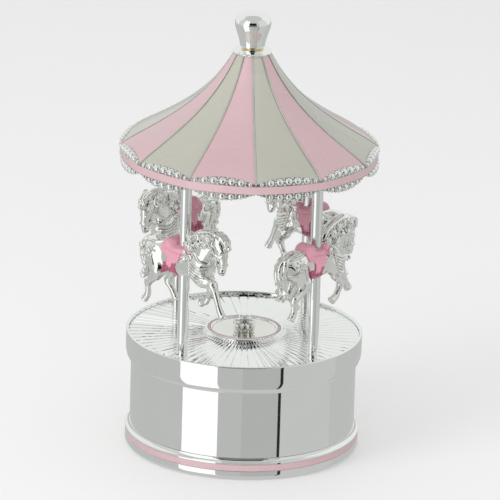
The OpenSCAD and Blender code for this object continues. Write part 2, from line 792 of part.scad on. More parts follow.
// one arch of bright trim under each gore, between the enamel's lower edge and the valance
module upper_bead_trim() {
    inner = arch_top_r - 0.6;
    outer = roof_r - 0.6;
    color(silver) per_gore() {
        polygon(concat(
            tent_line(-0.25, inner, outer, 4),
            [[roof_r + 0.5, roof_rim_z + 0.4], [roof_r + 0.5, band_top]],
            [[roof_r - enamel_t + gap, band_top], [roof_r - enamel_t + gap, roof_rim_z]],
            reversed(tent_line(enamel_t - gap, inner, outer, 4))));
        translate([arch_top_r + arch_rad, 0, band_bottom]) cylinder(r = arch_rad - gap, h = 16);
    }
}

// hanging scallops, one to a gore and deepest in the middle of it
module lower_bead_trim() {
    inner = roof_r - enamel_t - 0.8;
    color(silver) per_gore() {
        translate([inner, scallop_bottom - 1]) square([roof_r + 0.5 - inner, band_bottom - scallop_bottom + 1]);
        translate([roof_r - 6, 0, scallop_bottom + lobe_rad])
            rotate([0, 90, 0]) cylinder(r = lobe_rad, h = 12);
    }
}

// pear-shaped knob with a fluted collar under it
module finial() {
    knob = [[5.3, 0], [5.5, 1.2], [6.2, 4.5], [7.2, 7.6], [7.9, 9.6], [8.05, 10.8],
            [7.8, 12.4], [7, 14.2], [5.6, 15.7], [3.6, 16.6], [1.6, 16.8], [0, 16.8]];
    color(silver) difference() {
        union() {
            rotate_extrude() polygon(concat([[0, finial_bottom - 1.05], [7.7, finial_bottom - 1.05],
                [7.7, finial_bottom - 0.65], [9.4, finial_bottom - 0.65],
                [9.5, finial_bottom - 0.4], [8.6, finial_bottom - 0.1], [5.3, finial_bottom]],
                [for (p = knob) [p[0], p[1] + finial_bottom]]));
        }
        translate([0, 0, finial_bottom - 2]) cylinder(r = tie_r + gap, h = 10.2, $fn = 48);
    }
}

felt_ring();
foot_ring();
foot_enamel();
base_drum();
drum_deck();
spindle_bush();
thrust_washer();
bottom_plate();
plate_screws();
movement_screws();
bedplate();
inner_bracket();
outer_bracket();
bracket_screws();
comb();
comb_block();
comb_screws();
winding_arbor();
winding_key();
clutch_spring();
spring_barrel();
barrel_cap();
mainspring();
output_spindle();
cylinder_tube();
cylinder_ends();
cylinder_shaft();
cylinder_pinion();
cylinder_wheel();
governor_shaft();
governor_pinion();
worm_wheel();
worm();
air_brake();
turntable_cap();
turntable_hub();
floor_plate();
medallion_ring();
medallion_enamel();
medallion_dish();
rosette();
rosette_cap_nut();
post(1);  // post_1
post(2);  // post_2
post(3);  // post_3
post(4);  // post_4
post_nuts();
horse(1);  // horse_1
horse(2);  // horse_2
horse(3);  // horse_3
horse(4);  // horse_4
ceiling_plate();
tie_rod();
roof_shell();
pink_gores();
pearl_gores();
valance_enamel();
upper_bead_trim();
lower_bead_trim();
finial();
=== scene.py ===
import bpy
import json
import math
import numpy as np
from mathutils import Matrix, Vector


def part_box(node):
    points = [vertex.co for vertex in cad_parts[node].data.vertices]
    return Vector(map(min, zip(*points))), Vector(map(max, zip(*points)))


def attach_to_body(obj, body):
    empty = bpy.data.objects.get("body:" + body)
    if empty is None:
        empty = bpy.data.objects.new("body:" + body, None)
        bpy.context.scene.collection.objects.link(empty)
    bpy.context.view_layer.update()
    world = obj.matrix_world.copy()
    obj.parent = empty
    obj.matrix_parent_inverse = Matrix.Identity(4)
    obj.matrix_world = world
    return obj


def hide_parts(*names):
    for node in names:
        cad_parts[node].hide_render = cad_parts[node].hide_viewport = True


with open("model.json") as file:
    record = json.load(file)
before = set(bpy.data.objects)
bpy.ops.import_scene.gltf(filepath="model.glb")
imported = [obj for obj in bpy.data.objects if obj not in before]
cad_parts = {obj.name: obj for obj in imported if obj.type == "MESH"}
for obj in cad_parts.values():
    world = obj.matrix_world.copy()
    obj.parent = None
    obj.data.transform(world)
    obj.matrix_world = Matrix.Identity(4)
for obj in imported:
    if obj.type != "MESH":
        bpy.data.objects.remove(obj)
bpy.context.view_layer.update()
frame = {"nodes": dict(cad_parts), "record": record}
record = frame["record"]
slot_of = {p["node"]: p["material_slot"] for p in record["subparts"]}
MM = 0.001


def span(node):
    """Box of a node in millimetres: low corner, high corner."""
    lo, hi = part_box(node)
    return np.array(lo) / MM, np.array(hi) / MM


# ---------------------------------------------------------------- materials

def socket(node, name, value):
    node.inputs[name].default_value = value


def material(name, base, metallic=0.0, rough=0.3, rough_spread=0.05, tint=0.06, scale=40.0,
             bump=0.0, bump_scale=300.0, coat=0.0, coat_rough=0.05, sheen=0.0, dark=None, ior=1.5):
    """Procedural principled material: the colour and roughness drift with noise, bump adds fine relief, and a
    crease colour, if given, is painted shade mixed into the hollows by pointiness.
    """
    m = bpy.data.materials.new(name)
    m.use_nodes = True
    t = m.node_tree
    p = t.nodes["Principled BSDF"]
    co = t.nodes.new("ShaderNodeTexCoord")
    noise = t.nodes.new("ShaderNodeTexNoise")
    socket(noise, "Scale", scale)
    socket(noise, "Detail", 4.0)
    t.links.new(co.outputs["Object"], noise.inputs["Vector"])
    ramp = t.nodes.new("ShaderNodeValToRGB")
    ramp.color_ramp.elements[0].position = 0.3
    ramp.color_ramp.elements[1].position = 0.72
    low = [c * (1 - tint) for c in base] + [1]
    ramp.color_ramp.elements[0].color = low
    ramp.color_ramp.elements[1].color = [min(1, c * (1 + tint * 0.6)) for c in base] + [1]
    t.links.new(noise.outputs["Fac"], ramp.inputs["Fac"])
    colour = ramp.outputs["Color"]
    # painted shade: the crease colour is mixed into concave creases, where pointiness is low
    if dark:
        geo = t.nodes.new("ShaderNodeNewGeometry")
        crease_shade_mask = t.nodes.new("ShaderNodeValToRGB")
        crease_shade_mask.color_ramp.elements[0].position = 0.435
        crease_shade_mask.color_ramp.elements[1].position = 0.488
        t.links.new(geo.outputs["Pointiness"], crease_shade_mask.inputs["Fac"])
        mix = t.nodes.new("ShaderNodeMix")
        mix.data_type = "RGBA"
        mix.inputs[6].default_value = list(dark) + [1]
        t.links.new(crease_shade_mask.outputs["Color"], mix.inputs[0])
        t.links.new(colour, mix.inputs[7])
        colour = mix.outputs[2]
    t.links.new(colour, p.inputs["Base Color"])
    spread = t.nodes.new("ShaderNodeMapRange")
    socket(spread, "To Min", max(0.0, rough - rough_spread))
    socket(spread, "To Max", rough + rough_spread)
    t.links.new(noise.outputs["Fac"], spread.inputs["Value"])
    t.links.new(spread.outputs["Result"], p.inputs["Roughness"])
    if bump:
        fine = t.nodes.new("ShaderNodeTexNoise")
        socket(fine, "Scale", bump_scale)
        socket(fine, "Detail", 3.0)
        t.links.new(co.outputs["Object"], fine.inputs["Vector"])
        b = t.nodes.new("ShaderNodeBump")
        socket(b, "Strength", bump)
        socket(b, "Distance", 0.0002)
        t.links.new(fine.outputs["Fac"], b.inputs["Height"])
        t.links.new(b.outputs["Normal"], p.inputs["Normal"])
    socket(p, "Metallic", metallic)
    socket(p, "IOR", ior)
    socket(p, "Coat Weight", coat)
    socket(p, "Coat Roughness", coat_rough)
    socket(p, "Sheen Weight", sheen)
    return m


# material: base colour, metallic, roughness and its spread, tint, noise scale, bump, bump scale, the rest
gloss = {"coat": 0.5, "coat_rough": 0.08}
soft_gloss = {"coat": 0.4, "coat_rough": 0.1}
FINISHES = {
    "polished_silver": ((0.93, 0.935, 0.925), 1.0, 0.035, 0.015, 0.015, 60, 0.02, 120, {}),
    # cast_silver: painted shade, near black, in the creases of the horses
    "cast_silver": ((0.92, 0.92, 0.89), 1.0, 0.06, 0.02, 0.03, 160, 0.02, 400, {"dark": (0.10, 0.10, 0.09)}),
    "dish_silver": ((0.84, 0.83, 0.79), 1.0, 0.17, 0.04, 0.04, 160, 0.03, 400, {}),
    # darker silver for the roof ribs: painted shade for the dark lines along the seams
    "shaded_rib_silver": ((0.72, 0.72, 0.69), 1.0, 0.10, 0.05, 0.05, 200, 0.05, 500, {}),
    # darker silver for the lace behind the beads: painted shade in the gaps between the beads
    "shaded_lace_silver": ((0.42, 0.42, 0.39), 1.0, 0.16, 0.05, 0.10, 200, 0.05, 500, {}),
    "pink_enamel": ((0.72, 0.495, 0.522), 0.0, 0.28, 0.035, 0.03, 55, 0.05, 160, gloss),
    "pearl_enamel": ((0.55, 0.555, 0.468), 0.0, 0.28, 0.035, 0.025, 55, 0.05, 160, gloss),
    "saddle_pink": ((0.84, 0.385, 0.48), 0.0, 0.3, 0.06, 0.06, 70, 0.05, 200, soft_gloss),
    # cloth_pink: painted shade, deep pink, in the creases of the cloth
    "cloth_pink": ((0.50, 0.12, 0.21), 0.0, 0.3, 0.06, 0.10, 200, 0.05, 300,
                   {**soft_gloss, "dark": (0.30, 0.05, 0.12)}),
    "brass": ((0.80, 0.60, 0.28), 1.0, 0.22, 0.06, 0.06, 120, 0.08, 900, {}),
    "steel": ((0.56, 0.57, 0.59), 1.0, 0.25, 0.07, 0.05, 120, 0.08, 900, {}),
    "zinc": ((0.46, 0.47, 0.48), 1.0, 0.42, 0.08, 0.08, 140, 0.15, 1200, {}),
    "nylon": ((0.82, 0.80, 0.74), 0.0, 0.5, 0.08, 0.03, 200, 0.05, 900, {}),
    "felt": ((0.62, 0.58, 0.50), 0.0, 0.95, 0.04, 0.18, 900, 0.6, 2600, {"sheen": 0.4}),
}
mats = {name: material(name, *row[:-1], **row[-1]) for name, row in FINISHES.items()}
mats["silver"] = mats["polished_silver"]
for n, o in frame["nodes"].items():
    o.data.materials.clear()
    o.data.materials.append(mats[slot_of[n]])


# ---------------------------------------------------------------- mesh helpers

def piece(name, verts, faces, slot, body, stands=(), mat=None, sharp=40.0, weighted=True, place=None):
    """Makes a smooth-shaded object from points in millimetres and hangs it on a body."""
    me = bpy.data.meshes.new(name)
    me.from_pydata((np.asarray(verts, float) * MM).tolist(), [], [list(map(int, f)) for f in faces])
    me.update()
    me.shade_smooth()
    if sharp:
        me.set_sharp_from_angle(angle=math.radians(sharp))
    me.materials.append(mat or mats[slot])
    o = bpy.data.objects.new(name, me)
    bpy.context.scene.collection.objects.link(o)
    if weighted:
        w = o.modifiers.new("normals", "WEIGHTED_NORMAL")
        w.keep_sharp = True
    return attach(o, body, stands, place)


def attach(o, body, stands=(), place=None):
    if place is not None:
        o.matrix_world = place
    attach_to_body(o, body)
    if stands:
        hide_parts(*stands)
    return o


def polar(r, a, z):
    """Point at radius r, angle a and height z."""
    return np.array([r * math.cos(a), r * math.sin(a), z])


def join(parts):
    """One (verts, faces) from several."""
    verts, faces, at = [], [], 0
    for v, f in parts:
        verts.append(np.asarray(v, float))
        faces += [[i + at for i in q] for q in f]
        at += len(v)
    return np.vstack(verts), faces


def soften(loop, radius=0.25, steps=3, closed=True):
    """Rounds the corners of a profile."""
    pts = [np.array(q[:2], float) for q in loop]
    out = []
    n = len(pts)
    for i, p in enumerate(pts):
        if not closed and i in (0, n - 1):
            out.append(p)
            continue
        r = loop[i][2] if len(loop[i]) > 2 else radius
        a, b = pts[i - 1], pts[(i + 1) % n]
        la, lb = np.linalg.norm(a - p), np.linalg.norm(b - p)
        cut = min(r, la * 0.45, lb * 0.45)
        turn = np.dot((p - a) / la, (b - p) / lb)
        if turn > 0.97 or cut < 0.02:
            out.append(p)
            continue
        s, e = p + (a - p) / la * cut, p + (b - p) / lb * cut
        for k in range(steps + 1):
            t = k / steps
            out.append(s * (1 - t) ** 2 + p * 2 * t * (1 - t) + e * t ** 2)
    return out


def lathe(profile, n=240, centre=(0.0, 0.0), wave=None):
    """Solid of revolution from a closed profile of (r, z); points on the axis become poles."""
    verts, rows = [], []
    for r, z in profile:
        if r < 1e-6:
            rows.append([len(verts)])
            verts.append((centre[0], centre[1], z))
        else:
            rows.append(list(range(len(verts), len(verts) + n)))
            for k in range(n):
                a = 2 * math.pi * k / n
                q = r * (wave(a, r, z) if wave else 1.0)
                verts.append((centre[0] + q * math.cos(a), centre[1] + q * math.sin(a), z))
    faces = []
    m = len(rows)
    for i in range(m):
        a, b = rows[i], rows[(i + 1) % m]
        if len(a) == 1 and len(b) == 1:
            continue
        for k in range(n):
            j = (k + 1) % n
            if len(a) == 1:
                faces.append([a[0], b[k], b[j]])
            elif len(b) == 1:
                faces.append([a[k], b[0], a[j]])
            else:
                faces.append([a[k], b[k], b[j], a[j]])
    v = np.array(verts)
    return outward(v, faces)


def outward(v, faces):
    """Turns all faces if the closed mesh is inside out."""
    volume = 0.0
    for f in faces:
        for k in range(1, len(f) - 1):
            volume += np.dot(v[f[0]], np.cross(v[f[k]], v[f[k + 1]]))
    return (v, faces) if volume > 0 else (v, [f[::-1] for f in faces])


def slab(top, bottom):
    """Closed sheet between two grids of points with the same shape (rows, columns, 3)."""
    r, c, _ = top.shape
    v = np.vstack([top.reshape(-1, 3), bottom.reshape(-1, 3)])
    up = lambda i, j: i * c + j
    dn = lambda i, j: r * c + i * c + j
    faces = []
    for i in range(r - 1):
        for j in range(c - 1):
            faces.append([up(i, j), up(i + 1, j), up(i + 1, j + 1), up(i, j + 1)])
            faces.append([dn(i, j), dn(i, j + 1), dn(i + 1, j + 1), dn(i + 1, j)])
    edge = [(i, 0) for i in range(r)] + [(r - 1, j) for j in range(1, c)]
    edge += [(i, c - 1) for i in range(r - 2, -1, -1)] + [(0, j) for j in range(c - 2, 0, -1)]
    for k in range(len(edge)):
        a, b = edge[k], edge[(k + 1) % len(edge)]
        faces.append([up(*a), dn(*a), dn(*b), up(*b)])
    return outward(v, faces)


def ball(centre, radius, rings=8, n=14, squash=1.0, axis=None):
    """Sphere, flattened along axis by squash."""
    verts = [(0, 0, 1)]
    for i in range(1, rings):
        a = math.pi * i / rings
        turns = [2 * math.pi * k / n for k in range(n)]
        verts += [(math.sin(a) * math.cos(q), math.sin(a) * math.sin(q), math.cos(a)) for q in turns]
    verts.append((0, 0, -1))
    v = np.array(verts) * radius
    v[:, 2] *= squash
    if axis is not None:
        v = v @ np.array(Vector(axis).to_track_quat("Z", "Y").to_matrix()).T
    faces = [[0, 1 + k, 1 + (k + 1) % n] for k in range(n)]
    for i in range(rings - 2):
        for k in range(n):
            a, b = 1 + i * n + k, 1 + i * n + (k + 1) % n
            faces.append([a, a + n, b + n, b])
    last = len(verts) - 1
    faces += [[last, last - n + (k + 1) % n, last - n + k] for k in range(n)]
    return v + np.array(centre), faces


def tube(path, radii, n=10):
    """Round tube along points, with closed ends."""
    path = np.asarray(path, float)
    t = np.gradient(path, axis=0)
    t /= np.linalg.norm(t, axis=1)[:, None]
    ref = np.array([0, 0, 1.0]) if abs(t[0][2]) < 0.9 else np.array([1.0, 0, 0])
    u = np.cross(t[0], ref)
    turns = [2 * math.pi * k / n for k in range(n)]
    rows = []
    for p, d, r in zip(path, t, radii):
        u = u - d * np.dot(u, d)
        u /= np.linalg.norm(u)
        w = np.cross(d, u)
        rows.append([p + r * (math.cos(a) * u + math.sin(a) * w) for a in turns])
    v = np.vstack([np.array(rows).reshape(-1, 3), path[:1], path[-1:]])
    m = len(path)
    faces = [[i * n + k, i * n + (k + 1) % n, (i + 1) * n + (k + 1) % n, (i + 1) * n + k]
             for i in range(m - 1) for k in range(n)]
    faces += [[m * n, (k + 1) % n, k] for k in range(n)]
    faces += [[m * n + 1, (m - 1) * n + k, (m - 1) * n + (k + 1) % n] for k in range(n)]
    return outward(v, faces)


# ---------------------------------------------------------------- sculpting in a distance field

class Field:
    """Distance field on a grid; shapes are blended into it and it's turned into a mesh."""

    def __init__(self, lo, hi, step):
        self.lo, self.step = np.array(lo, float), step
        self.n = np.ceil((np.array(hi) - self.lo) / step).astype(int) + 1
        self.f = np.full(self.n, 9.0, np.float32)

    def window(self, lo, hi):
        a = np.clip(((np.array(lo) - self.lo) / self.step).astype(int), 0, self.n)
        b = np.clip(((np.array(hi) - self.lo) / self.step).astype(int) + 2, 0, self.n)
        ax = [self.lo[i] + self.step * np.arange(a[i], b[i]) for i in range(3)]
        where = tuple(slice(a[i], b[i]) for i in range(3))
        return where, np.meshgrid(*ax, indexing="ij", sparse=True)

    def add(self, lo, hi, fn, k=0.6, cut=False):
        pad = k + 3 * self.step
        where, (x, y, z) = self.window(np.array(lo) - pad, np.array(hi) + pad)
        if min(self.f[where].shape) == 0:
            return
        d = fn(x, y, z).astype(np.float32)
        old = self.f[where]
        if cut:
            h = np.maximum(k - np.abs(old + d), 0) / max(k, 1e-6)
            self.f[where] = np.maximum(old, -d) + h * h * k / 4
        else:
            h = np.maximum(k - np.abs(old - d), 0) / max(k, 1e-6)
            self.f[where] = np.minimum(old, d) - h * h * k / 4

    def limb(self, a, ra, b, rb, k=0.6, flat=1.0, cut=False):
        """Tapered capsule; flat squeezes it in y about its own middle."""
        a, b = np.array(a, float), np.array(b, float)
        lo, hi = np.minimum(a - ra, b - rb), np.maximum(a + ra, b + rb)
        d = b - a
        dd = max(float(d @ d), 1e-9)
        mid = (a[1] + b[1]) / 2

        def fn(x, y, z):
            yy = mid + (y - mid) / flat
            t = np.clip(((x - a[0]) * d[0] + (yy - a[1]) * d[1] + (z - a[2]) * d[2]) / dd, 0, 1)
            q = (x - a[0] - t * d[0]) ** 2 + (yy - a[1] - t * d[1]) ** 2 + (z - a[2] - t * d[2]) ** 2
            return np.sqrt(q) - (ra + t * (rb - ra))
        self.add(lo, hi, fn, k, cut)

    def chain(self, pts, k=0.6, flat=1.0):
        for p, q in zip(pts, pts[1:]):
            self.limb(p[:3], p[3], q[:3], q[3], k, flat)

    def egg(self, c, r, k=1.0, tilt=0.0, cut=False):
        """Ellipsoid, tilted about y."""
        c, r = np.array(c, float), np.array(r, float)
        ca, sa = math.cos(math.radians(tilt)), math.sin(math.radians(tilt))
        big = np.array([max(r[0], r[2]), r[1], max(r[0], r[2])])

        def fn(x, y, z):
            dx, dy, dz = x - c[0], y - c[1], z - c[2]
            u, w = ca * dx + sa * dz, -sa * dx + ca * dz
            k0 = np.sqrt((u / r[0]) ** 2 + (dy / r[1]) ** 2 + (w / r[2]) ** 2)
            k1 = np.sqrt((u / r[0] ** 2) ** 2 + (dy / r[1] ** 2) ** 2 + (w / r[2] ** 2) ** 2)
            return k0 * (k0 - 1) / np.maximum(k1, 1e-6)
        self.add(c - big, c + big, fn, k, cut)

    def sample(self, p):
        g = (p - self.lo) / self.step
        i = np.clip(np.floor(g).astype(int), 0, self.n - 2)
        t = np.clip(g - i, 0, 1)
        v = 0
        for dx in (0, 1):
            for dy in (0, 1):
                for dz in (0, 1):
                    w = np.where(dx, t[:, 0], 1 - t[:, 0]) * np.where(dy, t[:, 1], 1 - t[:, 1]) * \
                        np.where(dz, t[:, 2], 1 - t[:, 2])
                    v = v + w * self.f[i[:, 0] + dx, i[:, 1] + dy, i[:, 2] + dz]
        return v

    def mesh(self):
        """Surface nets, then a pull of each point onto the surface."""
        f = self.f
        n = np.array(f.shape) - 1
        total, count = np.zeros((*n, 3), np.float32), np.zeros(n, np.float32)
        corners = [(a, b, c) for a in (0, 1) for b in (0, 1) for c in (0, 1)]
        take = lambda c: f[c[0]:c[0] + n[0], c[1]:c[1] + n[1], c[2]:c[2] + n[2]]
        for a in corners:
            for ax in range(3):
                if a[ax]:
                    continue
                b = list(a)
                b[ax] = 1
                fa, fb = take(a), take(b)
                hit = (fa < 0) != (fb < 0)
                t = np.where(hit, fa / np.where(hit, fa - fb, 1), 0)
                for i in range(3):
                    total[..., i] += np.where(hit, a[i] + (t if i == ax else 0), 0)
                count += hit
        on = count > 0
        index = np.full(n, -1)
        index[on] = np.arange(on.sum())
        cells = np.argwhere(on)
        v = (cells + total[on] / count[on][:, None]) * self.step + self.lo
        faces = []
        for ax in range(3):
            u, w = (ax + 1) % 3, (ax + 2) % 3
            lo = [slice(None)] * 3
            hi = [slice(None)] * 3
            lo[ax], hi[ax] = slice(0, -1), slice(1, None)
            a, b = f[tuple(lo)] < 0, f[tuple(hi)] < 0
            for flip, hit in ((False, a & ~b), (True, ~a & b)):
                at = np.argwhere(hit)
                at = at[(at[:, u] > 0) & (at[:, w] > 0) & (at[:, u] < n[u]) & (at[:, w] < n[w])]
                quad = []
                for du, dw in ((0, 0), (-1, 0), (-1, -1), (0, -1)):
                    q = at.copy()
                    q[:, u] += du
                    q[:, w] += dw
                    quad.append(index[q[:, 0], q[:, 1], q[:, 2]])
                quad = np.stack(quad, 1)
                faces.append(quad[:, ::-1] if flip else quad)
        faces = np.vstack(faces)
        e = self.step * 0.5
        for _ in range(2):
            g = np.stack([self.sample(v + d) - self.sample(v - d) for d in e * np.eye(3)], 1) / (2 * e)
            s = self.sample(v) / np.maximum((g ** 2).sum(1), 0.2)
            v = v - np.clip(s, -0.4 * self.step, 0.4 * self.step)[:, None] * g
        return outward(v, faces.tolist())


# ---------------------------------------------------------------- base and turntable

def ring_profile(r0, r1, z0, z1):
    return [(r0, z0), (r1, z0), (r1, z1), (r0, z1)]


drum_lo, drum_hi = span("base_drum")
foot_lo, foot_hi = span("foot_ring")
band_lo, band_hi = span("foot_enamel")
cap_lo, cap_hi = span("turntable_cap")
floor_lo, floor_hi = span("floor_plate")
drum_r, foot_r, cap_r, floor_r = drum_hi[0], foot_hi[0], cap_hi[0], floor_hi[0]
foot_top = drum_lo[2]

wall_profile = ring_profile(drum_r - 1, drum_r, drum_lo[2], drum_hi[2])
piece("drum_wall", *lathe(soften(wall_profile, 0.2)), "silver", "base", ["base_drum"])
sole_in, sole_out, recess_r, collar_in, collar_out = 43, 50.0, 47.9, 44.3, 49.1
toe, cove, ledge_z = 2.2, 1.7, 14.2
foot = [(sole_in, foot_lo[2]), (sole_out, foot_lo[2], 0.1)]
foot += [(sole_out + toe * math.sin(a), 2.5 - toe * math.cos(a)) for a in np.radians(range(10, 91, 10))]
foot += [(foot_r, band_lo[2], 0.12), (foot_r - 0.5, band_lo[2], 0.05), (foot_r - 0.5, band_hi[2], 0.05),
         (foot_r, band_hi[2], 0.12), (foot_r, 8.1, 0.15)]
foot += [(foot_r - cove * math.sin(a), foot_top - cove * math.cos(a)) for a in np.radians(range(10, 81, 10))]
foot += [(foot_r - cove - 0.05, foot_top - 0.05), (collar_out, foot_top - 0.05), (collar_out, foot_hi[2]),
         (collar_in, foot_hi[2]), (collar_in, ledge_z), (recess_r, ledge_z), (recess_r, 2.5), (sole_in, 2.5)]
piece("foot_moulding", *lathe(soften(foot, 0.15)), "silver", "base", ["foot_ring"])
foot_band = ring_profile(foot_r - 0.45, foot_r - 0.08, band_lo[2] + 0.05, band_hi[2] - 0.05)
piece("foot_band", *lathe(soften(foot_band, 0.2)), "pink_enamel", "base", ["foot_enamel"])

z0, z1 = cap_lo[2], cap_hi[2]
web0, web1 = floor_lo[2] - 1, floor_lo[2]
lip = drum_r + 0.3
curve = []
ctrl = np.array([(lip + 0.5, z0), (cap_r, z0 + 0.9), (cap_r, z0 + 5.0)])
for t in np.linspace(0, 1, 14):
    curve.append(tuple(ctrl[0] * (1 - t) ** 2 + ctrl[1] * 2 * t * (1 - t) + ctrl[2] * t * t))
cap = [(lip, z0, 0.15)] + curve
cap += [(cap_r, z1 - 0.55), (cap_r - 0.08, z1 - 0.25), (cap_r - 0.3, z1 - 0.06), (cap_r - 0.6, z1),
        (cap_r - 0.9, z1 - 0.06), (cap_r - 1.12, z1 - 0.25), (cap_r - 1.2, z1 - 0.55), (cap_r - 1.2, web1),
        (2.1, web1), (2.1, web0), (cap_r - 1, web0, 0.4), (cap_r - 1, z0 + 4.6), (cap_r - 1.3, z0 + 2.6),
        (lip, z0 + 1.1)]
piece("cap_shell", *lathe(soften(cap, 0.12), 288), "silver", "carousel", ["turntable_cap"])

# floor: wedges between fine radial grooves, each wedge crowned a little
ring_hi = span("medallion_ring")[1]
med_r = ring_hi[0]
grooves, across = 72, 11
radii = np.linspace(med_r + 0.8, floor_r - 0.6, 30)
radii = np.concatenate([[med_r - 3.2, med_r + 0.3], radii, [floor_r - 0.1]])
rows_top = []
for r in radii:
    wedge = 2 * math.pi / grooves
    half = min(0.26 / r, wedge * 0.3)
    row = []
    for g in range(grooves):
        for k in range(across):
            if k < 4:
                a = -half + 2 * half * k / 4
                d = 0.34 * (1 - abs(k - 2) / 2)
            else:
                s = (k - 4) / (across - 4)
                a = half + (wedge - 2 * half) * s
                d = 0.10 * (2 * s - 1) ** 2
            if r < med_r + 0.5 or r > floor_r - 0.5:
                d = 0.0
            row.append((r * math.cos(a + g * wedge), r * math.sin(a + g * wedge), floor_hi[2] - d))
    rows_top.append(row)
top = np.array(rows_top)
count = top.shape[1]
under = top.copy()
under[..., 2] = floor_lo[2] + 0.02
v = np.vstack([top.reshape(-1, 3), under[[0, -1]].reshape(-1, 3)])
m = len(radii)
faces = [[i * count + j, (i + 1) * count + j, (i + 1) * count + (j + 1) % count, i * count + (j + 1) % count]
         for i in range(m - 1) for j in range(count)]
a0, b0 = m * count, (m + 1) * count
for j in range(count):
    k = (j + 1) % count
    faces.append([a0 + j, j, k, a0 + k])
    faces.append([(m - 1) * count + j, b0 + j, b0 + k, (m - 1) * count + k])
    faces.append([b0 + j, a0 + j, a0 + k, b0 + k])
piece("grooved_floor", *outward(v, faces), "silver", "carousel", ["floor_plate"], sharp=18, weighted=False)

# medallion
fl, h = floor_hi[2], ring_hi[2] - floor_hi[2]
med = [(med_r - 3.5, fl), (med_r, fl, 0.3), (med_r, fl + h - 0.6, 0.3), (med_r - 0.25, fl + h - 0.15, 0.2),
       (med_r - 0.7, fl + h, 0.2), (med_r - 1.25, fl + h, 0.1), (med_r - 1.3, fl + h - 0.35, 0.05),
       (med_r - 2.7, fl + h - 0.35, 0.05), (med_r - 2.75, fl + h, 0.1), (med_r - 3.1, fl + h, 0.2),
       (med_r - 3.5, fl + h - 0.4, 0.2)]
piece("medallion_rim", *lathe(soften(med, 0.15)), "silver", "carousel", ["medallion_ring"])
e_lo, e_hi = span("medallion_enamel")
med_band = ring_profile(med_r - 2.66, med_r - 1.34, e_lo[2] + 0.2, e_hi[2] + 0.03)
piece("medallion_band", *lathe(soften(med_band, 0.2)), "pink_enamel", "carousel", ["medallion_enamel"])
d_hi = span("medallion_dish")[1]
rose_lo, rose_hi = span("rosette")
nut_lo, nut_hi = span("rosette_cap_nut")
base_z = rose_lo[2]
edge = d_hi[0]
dish = [(2.1, fl), (edge, fl), (edge, d_hi[2], 0.2)]
dish += [(7 + (edge - 7.4) * t, base_z + (d_hi[2] - base_z - 0.05) * t * t) for t in np.linspace(1, 0, 14)]
dish += [(2.1, base_z)]
piece("medallion_bowl", *lathe(soften(dish, 0.1)), "silver", "carousel", ["medallion_dish"],
      mats["dish_silver"])

rose = Field((-7, -7, base_z - 1), (7, 7, nut_hi[2] + 1), 0.14)
reach = 3.4
crown = base_z + 4.0
for a in np.radians([45, 135, 225, 315]):
    c = np.array([reach * math.cos(a), reach * math.sin(a)])
    rose.limb((*c, base_z + 0.9), 2.0, (*c, base_z + 2.2), 2.35, 0.3)
    rose.egg((*c, crown - 0.9), (2.5, 2.5, 1.6), 0.3)
    rose.limb((0, 0, base_z + 1.6), 2.0, (*c, base_z + 1.7), 1.7, 0.4)
rose.limb((0, 0, base_z), 3.0, (0, 0, rose_hi[2] - 1.2), 1.9, 0.5)
rose_z = rose.lo[2] + rose.step * np.arange(rose.n[2])
rose.f = np.maximum(rose.f, (base_z - rose_z).astype(np.float32)[None, None])
piece("rosette_nut", *rose.mesh(), "silver", "carousel", ["rosette"], mats["cast_silver"], 0, False)
nz = nut_lo[2]
cap_nut = [(0, nz), (1.5, nz), (1.6, nz + 0.5), (2.75, nz + 0.75, 0.2)]
dome_h = nut_hi[2] - nz - 0.95
cap_nut += [(2.85 * math.cos(a), nz + 0.95 + dome_h * math.sin(a)) for a in np.radians(range(0, 90, 9))]
cap_nut += [(0, nut_hi[2])]
piece("rosette_dome", *lathe(soften(cap_nut, 0.1), 96), "silver", "carousel", ["rosette_cap_nut"])

# posts
for i in range(1, 5):
    lo, hi = span(f"post_{i}")
    c, r = (lo + hi) / 2, (hi[0] - lo[0]) / 2
    shaft = [(0, fl - 1), (r, fl - 1), (r, hi[2] - 3.3), (0, hi[2] - 3.3)]
    piece(f"post_tube_{i}", *lathe(soften(shaft, 0.1), 72, c[:2]), "silver", "carousel", [f"post_{i}"])

# ---------------------------------------------------------------- roof

val_lo, val_hi = span("valance_enamel")
fin_lo, fin_hi = span("finial")
roof_r, rim_z = val_hi[0], val_hi[2] + 0.75
top_r, gores, step_deg = 8.0, 12, 30.0
arch_in = roof_r - 2.7
half_chord = roof_r * math.sin(math.radians(15))
rise = roof_r * math.cos(math.radians(15)) - arch_in
arch_r = (half_chord ** 2 + rise ** 2) / (2 * rise)


def tent(r):
    return 168.2 - 0.5 * r + 33 * math.exp(-r / 13.5)


def roof_z(r):
    return rim_z + (tent(r) - tent(roof_r) + 1.3) * math.sqrt(max(0.0, 1 - (r / roof_r) ** 24))


def spaced(r0, r1, n):
    """Radii from r0 to r1, closer together near the rim where the roof turns down."""
    return [r0 + (r1 - r0) * (1 - (1 - i / n) ** 1.7) for i in range(n + 1)]


def normal(r):
    e = 0.02
    d = np.array([e, roof_z(min(r + e, roof_r)) - roof_z(r)]) if r + e < roof_r else np.array([0.02, -0.3])
    d /= np.linalg.norm(d)
    return np.array([-d[1], d[0]])


def arch_edge(a):
    """Radius of the enamel's lower edge at an angle from the middle of a gore."""
    c = arch_in + arch_r
    return c * math.cos(a) - math.sqrt(max(0.0, arch_r ** 2 - (c * math.sin(a)) ** 2))


def facet(r, a):
    """Sets the middle of each gore in a little, so that the tent reads as twelve panels."""
    t = min(1.0, max(0.0, (r - top_r) / 14)) * (0.6 + 0.4 * min(1.0, max(0.0, (roof_r - 1 - r) / 9)))
    return 1 - 0.45 * t * (1 - math.cos(math.radians(15)) / math.cos(a))


